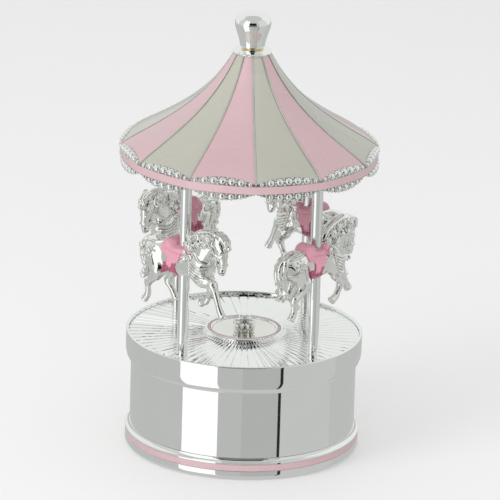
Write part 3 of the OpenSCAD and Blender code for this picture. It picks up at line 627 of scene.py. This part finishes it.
def panelled(made):
    """Draws the middle of each gore in a little on a mesh made round."""
    v, faces = made
    v = np.array(v, float)
    a, r = np.arctan2(v[:, 1], v[:, 0]), np.hypot(v[:, 0], v[:, 1])
    mid = np.mod(a, math.radians(30)) - math.radians(15)
    v[:, :2] *= np.array([facet(min(q, roof_r), b) for q, b in zip(r, mid)])[:, None]
    return v, faces


def gore(first_deg, sink0, sink1):
    """Closed enamel sheet of one gore, from its arch up to the top."""
    cols, rows = 22, 40
    grids = []
    for sink in (sink0, sink1):
        g = np.zeros((rows + 1, cols + 1, 3))
        for j in range(cols + 1):
            s = (2 * j / cols - 1)
            s = math.copysign(1 - (1 - abs(s)) ** 1.25, s)
            edge_a = s * math.radians(15)
            low = min(arch_edge(edge_a * 0.985), roof_r - 0.35)
            for i, r in enumerate(spaced(top_r + 0.3, low, rows)):
                a = s * (math.radians(15) - 0.45 / r)
                n2 = normal(r)
                side = (1 - abs(s)) * r * 0.26
                near_low = (low - r)
                meniscus = 0.16 * math.exp(-side / 0.35) + 0.10 * math.exp(-near_low / 0.35)
                off = -sink - (meniscus if sink == sink0 else 0)
                rr, zz = r * facet(r, a) + n2[0] * off, roof_z(r) + n2[1] * off
                t = a + math.radians(first_deg + 15)
                g[i, j] = polar(rr, t, zz)
        grids.append(g)
    return slab(*grids)


for colour, first in (("pink", 0), ("pearl", 30)):
    made = join([gore(60 * i + first, 0.0, 0.5) for i in range(6)])
    piece("gores_" + colour, *made, colour + "_enamel", "carousel", [colour + "_gores"], sharp=50)

# silver tent under the enamel, with a rib on each seam
under = -0.55
outer = []
for r in spaced(top_r - 1, roof_r - 0.6, 40):
    outer.append((r + normal(r)[0] * under, roof_z(r) + normal(r)[1] * under))
inner = [(r - 0.85, z - 1.0) for r, z in outer[::-1]]
low_z = val_lo[2]
shell = outer + [(roof_r - 0.6, low_z), (roof_r - 1.6, low_z), (roof_r - 1.6, outer[-1][1] - 1)] + inner[1:]
tent_v, tent_f = panelled(lathe(shell, 288))
ribs = []
for g in range(gores):
    t = math.radians(step_deg * g)
    path = []
    for q in spaced(top_r + 0.2, roof_r - 0.05, 60):
        n2 = normal(q)
        path.append((q - n2[0] * 0.12, roof_z(q) - n2[1] * 0.12))
    path.append((roof_r - 0.1, rim_z - 0.2))
    pts = [polar(p, t, z) for p, z in path]
    ribs.append(tube(pts, [0.31 + 0.07 * min(1, k / 20) for k in range(len(pts))], 10))
piece("roof_tent", tent_v, tent_f, "silver", "carousel", ["roof_shell"], sharp=50)
# the ribs take the darker silver: painted shade along the seams
piece("roof_ribs", *join(ribs), "silver", "carousel", mat=mats["shaded_rib_silver"], sharp=60)

band = ring_profile(roof_r - 0.5, roof_r, val_lo[2] + 0.02, val_hi[2] + 0.1)
piece("valance_band", *panelled(lathe(soften(band, 0.3), 288)),
      "pink_enamel", "carousel", ["valance_enamel"])

# beads: domes sized by the height of the scallop they fill, with seed beads between
lower_lo = span("lower_bead_trim")[0]
drop = val_lo[2] - lower_lo[2]
lobe_r = (half_chord ** 2 + drop ** 2) / (2 * drop)


def hang(s):
    """How far a hanging scallop reaches below the valance at arc length s from its middle."""
    return max(0.0, math.sqrt(lobe_r ** 2 - s * s) - (lobe_r - drop))


def climb(s):
    """Path up the roof from the valance's top edge, as (r, z) points out to the arch at arc length s."""
    r_low = arch_edge(s / roof_r)
    pts = [(roof_r, val_hi[2] + 0.1)] + [(q, roof_z(q)) for q in spaced(r_low, roof_r - 0.01, 14)[::-1]]
    return np.array(pts)


def along(pts, share):
    seg = np.hypot(*np.diff(pts, axis=0).T)
    run = np.concatenate([[0], np.cumsum(seg)])
    return [np.interp(share * run[-1], run, pts[:, k]) for k in (0, 1)], run[-1]


backing_low, backing_high, beads_low, beads_high = [], [], [], []
pitch = 4.15                                      # arc from one large bead to the next
big_bead, seed_bead = (10, 18, 0.72), (6, 10, 1)  # rings, segments and squash
for g in range(gores):
    mid = math.radians(step_deg * (g + 0.5))
    cols = 33
    top_g, bot_g = np.zeros((5, cols, 3)), np.zeros((5, cols, 3))
    up_t, up_b = np.zeros((9, cols, 3)), np.zeros((9, cols, 3))
    for j in range(cols):
        s = (2 * j / (cols - 1) - 1) * (half_chord * 0.985)
        t = mid + s / roof_r
        d = max(0.25, hang(s) - 0.25)
        for i in range(5):
            z = val_lo[2] + 0.02 - d * i / 4
            top_g[i, j] = polar(roof_r - 0.15, t, z)
            bot_g[i, j] = polar(roof_r - 0.75, t, z)
        pts = climb(s)
        for i in range(9):
            (q, z), _ = along(pts, i / 8)
            n2 = normal(min(q, roof_r))
            for grid, off in ((up_t, 0.02), (up_b, -0.5)):
                rr = q + n2[0] * off
                grid[i, j] = polar(rr, t, z + n2[1] * off)
    backing_low.append(slab(top_g, bot_g))
    backing_high.append(slab(up_t, up_b))
    for k in range(-3, 4):
        s = k * pitch
        t = mid + s / roof_r
        d = hang(s)
        size = max(0.55, min(1.75, d * 0.52))
        z = val_lo[2] - d / 2 - 0.05
        out = polar(1, t, 0)
        beads_low.append(ball(out * (roof_r - 0.15) + [0, 0, z], size, *big_bead, out))
        pts = climb(s)
        (q, z), run = along(pts, 0.5)
        n2 = normal(min(q, roof_r - 0.1))
        size_up = max(0.5, min(1.7, run * 0.47))
        way = polar(n2[0], t, n2[1])
        beads_high.append(ball(polar(q, t, z) - way * 0.1, size_up, *big_bead, way))
        if k < 3:
            s2 = s + pitch / 2
            t = mid + s2 / roof_r
            d = hang(s2)
            out = polar(1, t, 0)
            for share in (0.12, 0.5, 0.88):
                if d > 1.2 or share == 0.5:
                    small = 0.34 + 0.05 * d
                    spot = out * (roof_r - 0.05) + [0, 0, val_lo[2] - d * share]
                    beads_low.append(ball(spot, small, *seed_bead, out))
            pts = climb(s2)
            for share in (0.14, 0.5, 0.86):
                (q, z), run = along(pts, share)
                n2 = normal(min(q, roof_r - 0.1))
                way = polar(n2[0], t, n2[1])
                if run > 1.4 or share == 0.5:
                    beads_high.append(ball(polar(q, t, z), 0.34 + 0.05 * run, *seed_bead, way))
# the lace backing takes the darker silver: painted shade between the beads
piece("scallop_lace_low", *panelled(join(backing_low)), "silver", "carousel", ["lower_bead_trim"],
      mats["shaded_lace_silver"], 50)
piece("scallop_lace_high", *panelled(join(backing_high)), "silver", "carousel", ["upper_bead_trim"],
      mats["shaded_lace_silver"], 50)
piece("beads_low", *panelled(join(beads_low)), "silver", "carousel", sharp=0, weighted=False)
piece("beads_high", *panelled(join(beads_high)), "silver", "carousel", sharp=0, weighted=False)

# finial: pear-shaped knob above a fluted collar
fz = fin_lo[2]


def fluted(a, r, z):
    near = max(0.0, 1 - abs(z - fz - 0.5) / 1.2) * min(1.0, max(0.0, (r - 5.6) / 2.5))
    return 1 + near * 0.045 * (abs(math.cos(a * 6)) - 0.5)


collar = [(1.6, fz), (8.5, fz - 0.35, 0.1), (8.75, fz + 0.05, 0.25), (8.1, fz + 0.75, 0.4),
          (6.3, fz + 1.4, 0.3), (5.1, fz + 1.6), (1.6, fz + 1.6)]
piece("finial_collar", *lathe(soften(collar, 0.2), 240, wave=fluted), "silver", "carousel")
gap_ring = [(1.6, fz + 1.6), (4.85, fz + 1.6), (4.85, fz + 2.3), (1.6, fz + 2.3)]
piece("finial_washer", *lathe(gap_ring, 120), "silver", "carousel", mat=mats["brass"])
shape = [(5.35, 2.3), (5.5, 3.0), (5.75, 4.4), (6.2, 6.2), (6.8, 8.2), (7.4, 10.0), (7.85, 11.6), (8.02, 12.8),
         (7.9, 13.9), (7.45, 15.0), (6.6, 16.1), (5.4, 16.9), (3.9, 17.5), (2.0, 17.8), (0, 17.87)]
top_h = fin_hi[2] - fz
k = top_h / 17.87
fine = np.linspace(0, len(shape) - 1, 90)


def smooth_curve(x, ys):
    """Catmull-Rom through evenly spaced values."""
    i = np.clip(x.astype(int), 0, len(ys) - 2)
    u = x - i
    p = np.concatenate([[2 * ys[0] - ys[1]], ys, [2 * ys[-1] - ys[-2]]])
    a, b, c, d = p[i], p[i + 1], p[i + 2], p[i + 3]
    return 0.5 * (2 * b + (c - a) * u + (2 * a - 5 * b + 4 * c - d) * u ** 2 + (3 * b - a - 3 * c + d) * u ** 3)


sx = smooth_curve(fine, np.array([q[0] for q in shape], float))
sz = smooth_curve(fine, np.array([q[1] for q in shape], float)) * k
knob = [(0, sz[0] + fz)] + [(max(0.0, r), z + fz) for r, z in zip(sx[:-1], sz[:-1])] + [(0, sz[-1] + fz)]
piece("finial_knob", *lathe(knob, 144), "silver", "carousel", ["finial"], sharp=60)

# ---------------------------------------------------------------- horses

def hoof(field, a, b, ra, rb):
    """Short flat-ended cone."""
    a, b = np.array(a, float), np.array(b, float)
    d = b - a
    length = float(np.linalg.norm(d))
    d /= length
    big = max(ra, rb)

    def fn(x, y, z):
        t = (x - a[0]) * d[0] + (y - a[1]) * d[1] + (z - a[2]) * d[2]
        rho = np.sqrt(np.maximum((x - a[0]) ** 2 + (y - a[1]) ** 2 + (z - a[2]) ** 2 - t * t, 0))
        return np.maximum(np.maximum(rho - (ra + (rb - ra) * t / length), -t), t - length)
    field.add(np.minimum(a, b) - big, np.maximum(a, b) + big, fn, 0.3)


def flank(field, x, z, side):
    """Sideways distance of the outermost surface at (x, z)."""
    i = int(round((x - field.lo[0]) / field.step))
    j = int(round((z - field.lo[2]) / field.step))
    row = field.f[min(max(i, 0), field.n[0] - 1), :, min(max(j, 0), field.n[2] - 1)]
    ys = field.lo[1] + field.step * np.arange(field.n[1])
    hit = np.where(row < 0)[0]
    if len(hit) == 0:
        return 0.0
    k = hit[-1] if side > 0 else hit[0]
    m = k + side
    if m < 0 or m >= len(ys):
        return ys[k]
    return ys[k] + (ys[m] - ys[k]) * row[k] / (row[k] - row[m])


def bend(pts, n):
    """Smooth path through points, n steps a span."""
    p = np.array(pts, float)
    t = np.linspace(0, len(p) - 1, (len(p) - 1) * n + 1)
    return np.stack([smooth_curve(t, p[:, i]) for i in range(p.shape[1])], 1)


def lock(field, pts, side, r0, r1, lift=0.12, k=0.18):
    """Strand of hair or strap laid on the flank through (x, z) points; side 0 lays both."""
    for s in ((-1, 1) if side == 0 else (side,)):
        path = bend(pts, 6)
        ys = np.array([flank(field, x, z, s) for x, z in path])
        ys = np.convolve(np.pad(ys, 2, mode="edge"), np.ones(5) / 5, mode="valid")
        rr = np.linspace(r0, r1, len(path))
        rows = [(x, y + s * lift, z, r) for (x, z), y, r in zip(path, ys, rr)]
        field.chain(rows, k)


def curl(field, x, z, side, size, turn=1, lift=0.2, r=0.42, start=0.0):
    """Spiral of hair on the flank with a bead in its middle."""
    for s in ((-1, 1) if side == 0 else (side,)):
        y = flank(field, x, z, s) + s * lift
        rows = []
        for k in range(19):
            t = k / 18
            a = start + turn * 2 * math.pi * 1.35 * t
            q = size * (1 - 0.78 * t)
            rows.append((x + q * math.cos(a), y + s * 0.55 * t, z + q * math.sin(a), r * (0.75 + 0.25 * t)))
        field.chain(rows, 0.12)
        field.egg((x, y + s * 0.5, z), (size * 0.34,) * 3, 0.1)


def beads_on(field, pts, side, size, gap_mm):
    path = bend(pts, 8)
    run = np.concatenate([[0], np.cumsum(np.linalg.norm(np.diff(path, axis=0), axis=1))])
    spots = []
    for s in ((-1, 1) if side == 0 else (side,)):
        for d in np.arange(0, run[-1], gap_mm):
            x, z = np.interp(d, run, path[:, 0]), np.interp(d, run, path[:, 1])
            spots.append((x, flank(field, x, z, s), z))
    for c in spots:
        field.egg(c, (size,) * 3, 0.1)


def sculpt(reach):
    """One horse; reach is the side, -1 outer or 1 inner, of the foreleg that is stretched out."""
    H = Field((-28.2, -8.7, -23.1), (30.3, 8.7, 20.1), 0.3)
    H.egg((-1, 0, 0.6), (15, 5.5, 6.8), 1)
    H.egg((10.3, 0, 0.8), (6.6, 5.3, 7.2), 2.5)
    H.egg((-15, 0, 2.2), (7.6, 5.8, 7.2), 3)
    H.egg((-7, 0, 5.2), (9, 3.8, 3.2), 2)
    H.chain([(8.5, 0, 3, 6.4), (11.8, 0, 9, 5.3), (15.5, 0, 12.2, 4.3), (19.6, 0, 13.4, 3.4)], 1.6, 0.74)
    H.limb((19.8, 0, 13.2), 3.4, (21.8, 0, 9.8), 3.0, 1.0, 0.76)
    H.limb((21.8, 0, 9.8), 2.85, (22.8, 0, 4.4), 2.0, 0.8, 0.84)
    H.limb((22.8, 0, 4.4), 1.95, (22.2, 0, 1.3), 2.0, 0.6, 0.88)
    H.egg((19.9, 0, 9.6), (2.7, 2.5, 3.0), 0.6)
    H.limb((20.0, 0, 8), 1.9, (21.0, 0, 2.6), 1.35, 0.6, 0.85)
    H.limb((21.2, 0, 1.7), 0.95, (22.6, 0, 0.4), 1.0, 0.4)

    # legs: (x, y, z, radius) down each limb, the hoof's end last
    legs = [
        [(11, 2.8 * reach, -1.5, 4.2), (14.5, 3.5 * reach, -4.0, 2.8), (20.2, 3.6 * reach, -4.7, 1.85),
         (21.0, 3.6 * reach, -5.8, 1.5), (24.3, 3.6 * reach, -14.3, 1.05), (24.9, 3.6 * reach, -15.6, 1.35),
         (26.6, 3.6 * reach, -18.4, 1.9)],
        [(9, -3.0 * reach, -2, 4.2), (10.4, -3.7 * reach, -6.3, 2.6), (13.2, -3.8 * reach, -9.8, 1.85),
         (13.0, -3.8 * reach, -11, 1.5), (10.6, -3.8 * reach, -15.6, 1.05), (9.9, -3.8 * reach, -16.6, 1.3),
         (6.9, -3.8 * reach, -18.0, 1.85)],
        [(-15, -3.2, 0, 4.6), (-11.8, -3.9, -5.4, 3.1), (-12.9, -3.9, -8, 2.1), (-17.3, -3.9, -11.6, 1.65),
         (-17.9, -3.8, -12.8, 1.3), (-17.7, -3.8, -17.1, 1.05), (-18.0, -3.8, -18.4, 1.3),
         (-19.9, -3.8, -21.0, 1.75)],
        [(-14, 3.2, 0, 4.6), (-9.8, 3.9, -5.4, 3.1), (-10.6, 3.9, -8, 2.1), (-12.8, 3.9, -12.0, 1.65),
         (-12.6, 3.8, -13.2, 1.3), (-9.9, 3.8, -16.6, 1.05), (-9.2, 3.8, -17.6, 1.25),
         (-7.5, 3.8, -20.1, 1.75)],
    ]
    leg_girth = 1.16
    for leg in legs:
        H.limb(leg[0][:3], leg[0][3], leg[1][:3], leg[1][3] * leg_girth, 2.0, 0.8)
        for p, q in zip(leg[1:-1], leg[2:-1]):
            H.limb(p[:3], p[3] * leg_girth, q[:3], q[3] * leg_girth, 0.8)
        a, b = np.array(leg[-2][:3]), np.array(leg[-1][:3])
        H.limb(a, 1.3, a + (b - a) * 0.35, 1.25, 0.5)
        H.limb(a + (b - a) * 0.30, 1.6, a + (b - a) * 0.36, 1.65, 0.15)
        hoof(H, a + (b - a) * 0.36, b, 1.4, leg[-1][3] * 1.08)

    bare = Field(H.lo, H.lo + H.step * (H.n - 1), H.step)
    bare.f = H.f.copy()

    # head: ears, eyes, nostrils, mouth, bridle
    for s in (-1, 1):
        H.limb((19.2, 1.5 * s, 15.3), 1.0, (18.9, 2.0 * s, 17.9), 0.35, 0.3)
        H.egg((22.3, 2.15 * s, 9.9), (1.1, 0.6, 0.75), 0.15)
        H.egg((22.3, 2.6 * s, 9.85), (0.42, 0.35, 0.42), 0.05)
        H.egg((23.6, 1.05 * s, 1.9), (0.5, 0.4, 0.65), 0.1, cut=True)
    H.egg((22.9, 0, 0.75), (1.3, 2.5, 0.18), 0.1, 12, cut=True)
    lock(H, [(24.3, 4.2), (22.4, 4.4), (20.3, 4.8)], 0, 0.42, 0.42, 0.1, 0.1)
    lock(H, [(20.6, 4.8), (19.9, 8.6), (18.3, 12.5)], 0, 0.4, 0.4, 0.1, 0.1)
    lock(H, [(23.9, 7.8), (21.8, 8.2), (19.6, 9.2)], 0, 0.36, 0.36, 0.1, 0.1)
    curl(H, 20.9, 4.7, 0, 0.75, 1, 0.2, 0.3)
    lock(H, [(20.8, 4.4), (17.5, 2.5), (13, 4.2), (8.2, 8.6)], 0, 0.42, 0.42, 0.15, 0.1)

    # mane: long locks down the neck, a row of curls on the crest, a forelock
    crest = bend([(3.6, 9.0), (5.4, 12.6), (8.6, 15.3), (12.4, 16.9), (16.4, 17.7), (19.4, 17.0)], 8)
    H.chain([(x, 0, z - 0.6, 1.7) for x, z in crest], 1.0, 1.1)
    for i, (x0, z0) in enumerate(crest[2::4]):
        lean = 1 - i / 10
        for s in (-1, 1):
            sway = 0.7 * math.sin(i * 2.1 + s)
            lock(H, [(x0, z0 - 0.6), (x0 - 0.8 + sway, z0 - 3.0), (x0 - 0.3 - sway, z0 - 5.6),
                     (x0 - 2.0 * lean + sway, z0 - 8.2 * (0.55 + 0.45 * lean))], s, 0.85, 0.35, 0.25, 0.2)
            lock(H, [(x0 + 0.9, z0 - 0.8), (x0 + 0.5 + sway, z0 - 3.4), (x0 + 1.2 - sway, z0 - 5.2),
                     (x0 - 0.2 * lean, z0 - 7.2 * (0.5 + 0.5 * lean))], s, 0.6, 0.25, 0.3, 0.15)
    for i, (x, z) in enumerate([(4.2, 10.4), (6.9, 13.3), (10.4, 15.2), (14.2, 16.2), (17.6, 15.9), (4.0, 6.6),
                                (8.4, 9.8), (12.2, 11.8), (15.6, 12.2), (7.6, 5.6)]):
        curl(H, x, z, 0, 1.75 if i < 5 else 1.3, 1 if i % 2 else -1, 0.45, 0.6 if i < 5 else 0.48, i)
    for s in (-1, 0, 1):
        path = bend([(19.0, 0.9 * s, 17.2), (22.0, 1.5 * s, 17.0), (24.6, 1.3 * s, 15.0),
                     (26.2 - abs(s), 0.8 * s, 12.6), (25.0 - abs(s), 0.6 * s, 11.0)], 6)
        H.chain([(*p, r) for p, r in zip(path, np.linspace(1.15, 0.4, len(path)))], 0.3)
    for x, y, z, q in ((25.0, 0.9, 15.4, 1.0), (25.0, -0.9, 15.4, 1.0), (26.2, 0, 12.6, 1.05),
                       (24.6, 1.4, 12.4, 0.8), (24.6, -1.4, 12.4, 0.8), (22.0, 1.9, 16.2, 0.9),
                       (22.0, -1.9, 16.2, 0.9)):
        H.egg((x, y, z), (q,) * 3, 0.15)

    # harness: girth of beads, breast straps, rosette and crupper
    beads_on(H, [(7.4, 9.4), (7.0, 5.0), (7.6, 0.2), (8.6, -3.6)], 0, 0.62, 1.22)
    for k in range(5):
        z = 3.4 - 1.35 * k
        lock(H, [(8.6, z), (11.6, z - 1.5), (14.6, z - 2.0), (16.6, z - 1.6)], 0, 0.34, 0.3, 0.12, 0.08)
    beads_on(H, [(8.8, -3.8), (12.0, -5.4), (15.4, -5.0)], 0, 0.55, 1.15)
    curl(H, -15.4, 3.6, 0, 1.7, 1, 0.15, 0.42)
    for a in range(0, 360, 45):
        x, z = -15.4 + 2.5 * math.cos(math.radians(a)), 3.6 + 2.5 * math.sin(math.radians(a))
        beads_on(H, [(x, z), (x + 0.05, z)], 0, 0.45, 1.0)
    lock(H, [(-9.5, 8.2), (-13.4, 7.4), (-17.4, 7.2), (-20.6, 5.6)], 0, 0.42, 0.42, 0.12, 0.1)
    lock(H, [(-16.6, 1.8), (-19.4, 0.0), (-21.4, -1.0)], 0, 0.38, 0.38, 0.12, 0.1)
    lock(H, [(-14.2, 1.9), (-13.0, -1.4), (-12.6, -3.0)], 0, 0.38, 0.38, 0.12, 0.1)

    # tail: five locks wound down close behind the hocks, with curls
    for dy, dx, ph in ((0, 0, 0.0), (1.3, 0.3, 1.6), (-1.3, 0.3, 3.1), (0.8, -0.8, 4.2), (-0.8, -0.8, 5.3)):
        path = bend([(-19.6, dy * 0.5, 6.4), (-22.0 + dx, dy, 5.6), (-23.4 + dx, dy * 1.2, 2.0),
                     (-22.7 + dx, dy * 1.3, -2.0), (-21.4 + dx, dy * 1.3, -5.6), (-21.6 + dx, dy * 1.1, -9.0),
                     (-23.2 + dx, dy * 0.8, -11.6)], 8)
        n = len(path)
        for q in range(n):
            t = q / (n - 1)
            path[q, 1] += 0.5 * math.sin(9 * t + ph)
            path[q, 0] += 0.5 * math.cos(9 * t + ph)
        H.chain([(*p, r) for p, r in zip(path, np.linspace(1.5, 0.6, n))], 0.25)
    for x, z, q in ((-22.9, 3.4, 1.3), (-23.0, -0.6, 1.25), (-21.9, -4.6, 1.2), (-21.8, -8.4, 1.15),
                    (-22.9, -11.2, 1.1)):
        curl(H, x, z, 0, q, 1, 0.1, 0.42, x)

    return H.mesh(), bare


stretched, bare = sculpt(-1)
tucked = sculpt(1)[0]

# saddle and cloth: sheets that lie on the body, both sides and over the back
seat = Field(bare.lo, bare.lo + bare.step * (bare.n - 1), bare.step)
seat.f = bare.f.copy()
seat.egg((-6.6, 0, 7.6), (3.3, 4.7, 3.2), 1.2)
seat.egg((-1.5, 0, 6.3), (6, 4.6, 1.6), 1.0)
seat.egg((4.3, 0, 7.2), (1.9, 4.0, 2.9), 1.0)
gx = bare.lo[0] + bare.step * np.arange(bare.n[0])[:, None]
gz = bare.lo[2] + bare.step * np.arange(bare.n[2])[None, :]


def disc2(x, z, r):
    return np.sqrt((gx - x) ** 2 + (gz - z) ** 2) - r


def sheet(shape, thick, sink=0.5):
    f = Field(bare.lo, bare.lo + bare.step * (bare.n - 1), bare.step)
    s = shape[:, None, :]
    f.f = np.maximum(np.maximum(seat.f - thick, -(seat.f + sink)), s).astype(np.float32)
    return f


lobes = np.minimum(np.minimum(disc2(-6.4, 7.0, 3.8), disc2(-2.4, 4.2, 3.9)), disc2(4.1, 7.0, 2.7))
lobes = np.minimum(lobes, np.maximum(np.abs(gx + 4.2) - 1.5, np.abs(gz) - 2.2))
lobes = np.minimum(lobes, np.maximum(np.abs(gx + 1.0) - 5.0, np.abs(gz - 6.8) - 1.5))
saddle_mesh = sheet(lobes, 0.62).mesh()
silver_line = sheet(np.maximum(np.abs(gz - 5.6 + 0.12 * (gx + 4)) - 0.22, np.abs(gx + 3.2) - 4.6), 0.85)
wave = 0.55 * np.cos(gx * 2.6)
cloth_shape = np.maximum(np.abs(gx + 4.7) - 3.7, np.maximum(-5.3 + wave * 0.6 - gz, gz + 0.4))
cloth_shape = np.minimum(cloth_shape, np.maximum(np.abs(gx + 3.3) - 2.9, np.abs(gz - 1.5) - 2.3))
cloth = sheet(cloth_shape, 0.42)
for k in range(4):
    for s in (-1, 1):
        x = -7.8 + 1.9 * k
        curl(cloth, x, -2.9, s, 0.85, 1 if k % 2 else -1, 0.1, 0.34, k)
        cloth.egg((x + 1.1, flank(cloth, x + 1.1, -1.4, s), -1.4), (0.5, 0.5, 0.5), 0.1)
cloth_mesh = cloth.mesh()


def herd(name, mesh, slot, mat=None, stands=False, posts=(1, 2, 3, 4)):
    """The same mesh on several posts, each facing round the turntable."""
    shared = None
    for i in posts:
        lo, hi = span(f"post_{i}")
        c = (lo + hi) / 2
        turn = math.atan2(c[1], c[0]) + math.pi / 2
        place = Matrix.Translation((c[0] * MM, c[1] * MM, horse_z * MM)) @ Matrix.Rotation(turn, 4, "Z")
        nodes = [f"horse_{i}"] if stands else []
        if shared is None:
            shared = piece(f"{name}_{i}", *mesh, slot, "carousel", nodes, mat, 0, False, place).data
        else:
            o = bpy.data.objects.new(f"{name}_{i}", shared)
            bpy.context.scene.collection.objects.link(o)
            attach(o, "carousel", nodes, place)


horse_z = span("horse_1")[0][2] + 21.02
herd("horse_body", stretched, "cast_silver", stands=True, posts=(2, 4))
herd("horse_body", tucked, "cast_silver", stands=True, posts=(1, 3))
herd("saddle", saddle_mesh, "pink_enamel", mats["saddle_pink"])
herd("saddle_line", silver_line.mesh(), "pink_enamel", mats["saddle_pink"])
herd("saddle_cloth", cloth_mesh, "pink_enamel", mats["cloth_pink"])

# ---------------------------------------------------------------- stage, light and camera

def plain(name, colour, rough=0.6, lift=0.17):
    """Matt material for the stage, with a faint drift in tone."""
    m = material(name, colour, 0.0, rough, 0.05, 0.01, 3.0)
    shader = next(n for n in m.node_tree.nodes if n.type == "BSDF_PRINCIPLED")
    socket(shader, "Emission Color", (1, 1, 1, 1))
    socket(shader, "Emission Strength", lift)
    return m


def glow(name, level):
    m = bpy.data.materials.new(name)
    m.use_nodes = True
    t = m.node_tree
    t.nodes.clear()
    e = t.nodes.new("ShaderNodeEmission")
    socket(e, "Color", (0.975, 1, 0.98, 1))
    socket(e, "Strength", level)
    out = t.nodes.new("ShaderNodeOutputMaterial")
    t.links.new(e.outputs[0], out.inputs["Surface"])
    return m


def stage_mesh(name, verts, faces, mat):
    me = bpy.data.meshes.new(name)
    me.from_pydata([tuple(v) for v in verts], [], faces)
    me.materials.append(mat)
    o = bpy.data.objects.new(name, me)
    bpy.context.scene.collection.objects.link(o)
    return o


CAM_AZ, CAM_EL = math.radians(-3.35), math.radians(18.37)


def wall(name, az0, az1, level, low=-0.7, high=1.5, r=0.95):
    """Card standing in an arc round the object; 0 degrees is behind the camera and right is plus."""
    n = max(2, int(abs(az1 - az0) / 3))
    verts = []
    for k in range(n + 1):
        a = CAM_AZ + math.radians(az0 + (az1 - az0) * k / n)
        x, y = math.sin(a) * r, -math.cos(a) * r
        verts += [(x, y, low), (x, y, high)]
    faces = [[2 * k, 2 * k + 2, 2 * k + 3, 2 * k + 1] for k in range(n)]
    o = stage_mesh(name, verts, faces, glow(name, level))
    o.visible_camera = o.visible_diffuse = o.visible_shadow = False
    return o


# below the horizon the studio reads mid grey, with one soft box on the left; above it is lighter
for name, az0, az1, low_level, high_level in (
        ("front_left", -24, 0, 0.51, 0.58), ("front_right", 0, 36, 0.46, 0.56),
        ("dark_strip", 36, 39, 0.02, 0.45), ("right", 39, 100, 0.57, 0.70), ("back", 100, 260, 0.53, 0.86),
        ("left", -100, -62, 0.53, 0.66), ("softbox", -62, -24, 1.15, 1.15)):
    wall("card_low_" + name, az0, az1, low_level, -0.75, 0.09)
    wall("card_high_" + name, az0, az1, high_level, 0.09, 1.5)
wall("card_camera_low", -27, 27, 0.012, 0.12, 0.27, 0.93)
wall("card_camera_high", -24, 24, 0.012, 0.355, 1.0, 0.93)

floor_half = 6
floor_corners = [(x * floor_half, y * floor_half, 0) for x, y in ((-1, -1), (1, -1), (1, 1), (-1, 1))]
floor = stage_mesh("floor", floor_corners, [[0, 1, 2, 3]],
                   plain("floor_white", (0.93, 0.93, 0.93)))
floor.visible_glossy = False

world = bpy.data.worlds.new("studio")
bpy.context.scene.world = world
world.use_nodes = True
nodes, links = world.node_tree.nodes, world.node_tree.links
back = nodes["Background"]
socket(back, "Color", (0.86, 0.86, 0.86, 1))
socket(back, "Strength", 0.66)
pure = nodes.new("ShaderNodeBackground")
socket(pure, "Color", (1, 1, 1, 1))
path = nodes.new("ShaderNodeLightPath")
pick = nodes.new("ShaderNodeMixShader")
links.new(path.outputs["Is Camera Ray"], pick.inputs[0])
links.new(back.outputs[0], pick.inputs[1])
links.new(pure.outputs[0], pick.inputs[2])
links.new(pick.outputs[0], nodes["World Output"].inputs["Surface"])


def area(name, az, el, dist, size, power):
    light = bpy.data.lights.new(name, "AREA")
    light.shape = "DISK"
    light.size = size
    light.energy = power
    o = bpy.data.objects.new(name, light)
    bpy.context.scene.collection.objects.link(o)
    a, e = CAM_AZ + math.radians(az), math.radians(el)
    d = Vector((math.sin(a) * math.cos(e), -math.cos(a) * math.cos(e), math.sin(e)))
    o.location = Vector((0, 0, 0.1)) + d * dist
    o.rotation_mode = "QUATERNION"
    o.rotation_quaternion = (-d).to_track_quat("-Z", "Y")
    o.visible_camera = False
    o.visible_glossy = False
    return o


area("key_left", -50, 30, 1.6, 0.9, 6)
area("fill_front", 0, 4, 1.6, 1.2, 5)
area("top", 0, 85, 1.6, 1.0, 2.5)

cam_data = bpy.data.cameras.new("camera")
camera = bpy.data.objects.new("camera", cam_data)
bpy.context.scene.collection.objects.link(camera)
bpy.context.scene.camera = camera
away = Vector((math.sin(CAM_AZ) * math.cos(CAM_EL), -math.cos(CAM_AZ) * math.cos(CAM_EL), math.sin(CAM_EL)))
aim, reach = Vector((0, 0, 0.1)), 3.0
cam_data.sensor_width = 36
cam_data.lens = 486.7
cam_data.shift_x, cam_data.shift_y = 0.0057, -0.04254
cam_data.clip_start, cam_data.clip_end = 0.05, 50
camera.rotation_mode = "QUATERNION"
camera.location = aim + away * reach
roll = Matrix.Rotation(math.radians(1.66), 3, "Z").to_quaternion()
camera.rotation_quaternion = (-away).to_track_quat("-Z", "Y") @ roll
bpy.context.scene.view_settings.view_transform = "Standard"
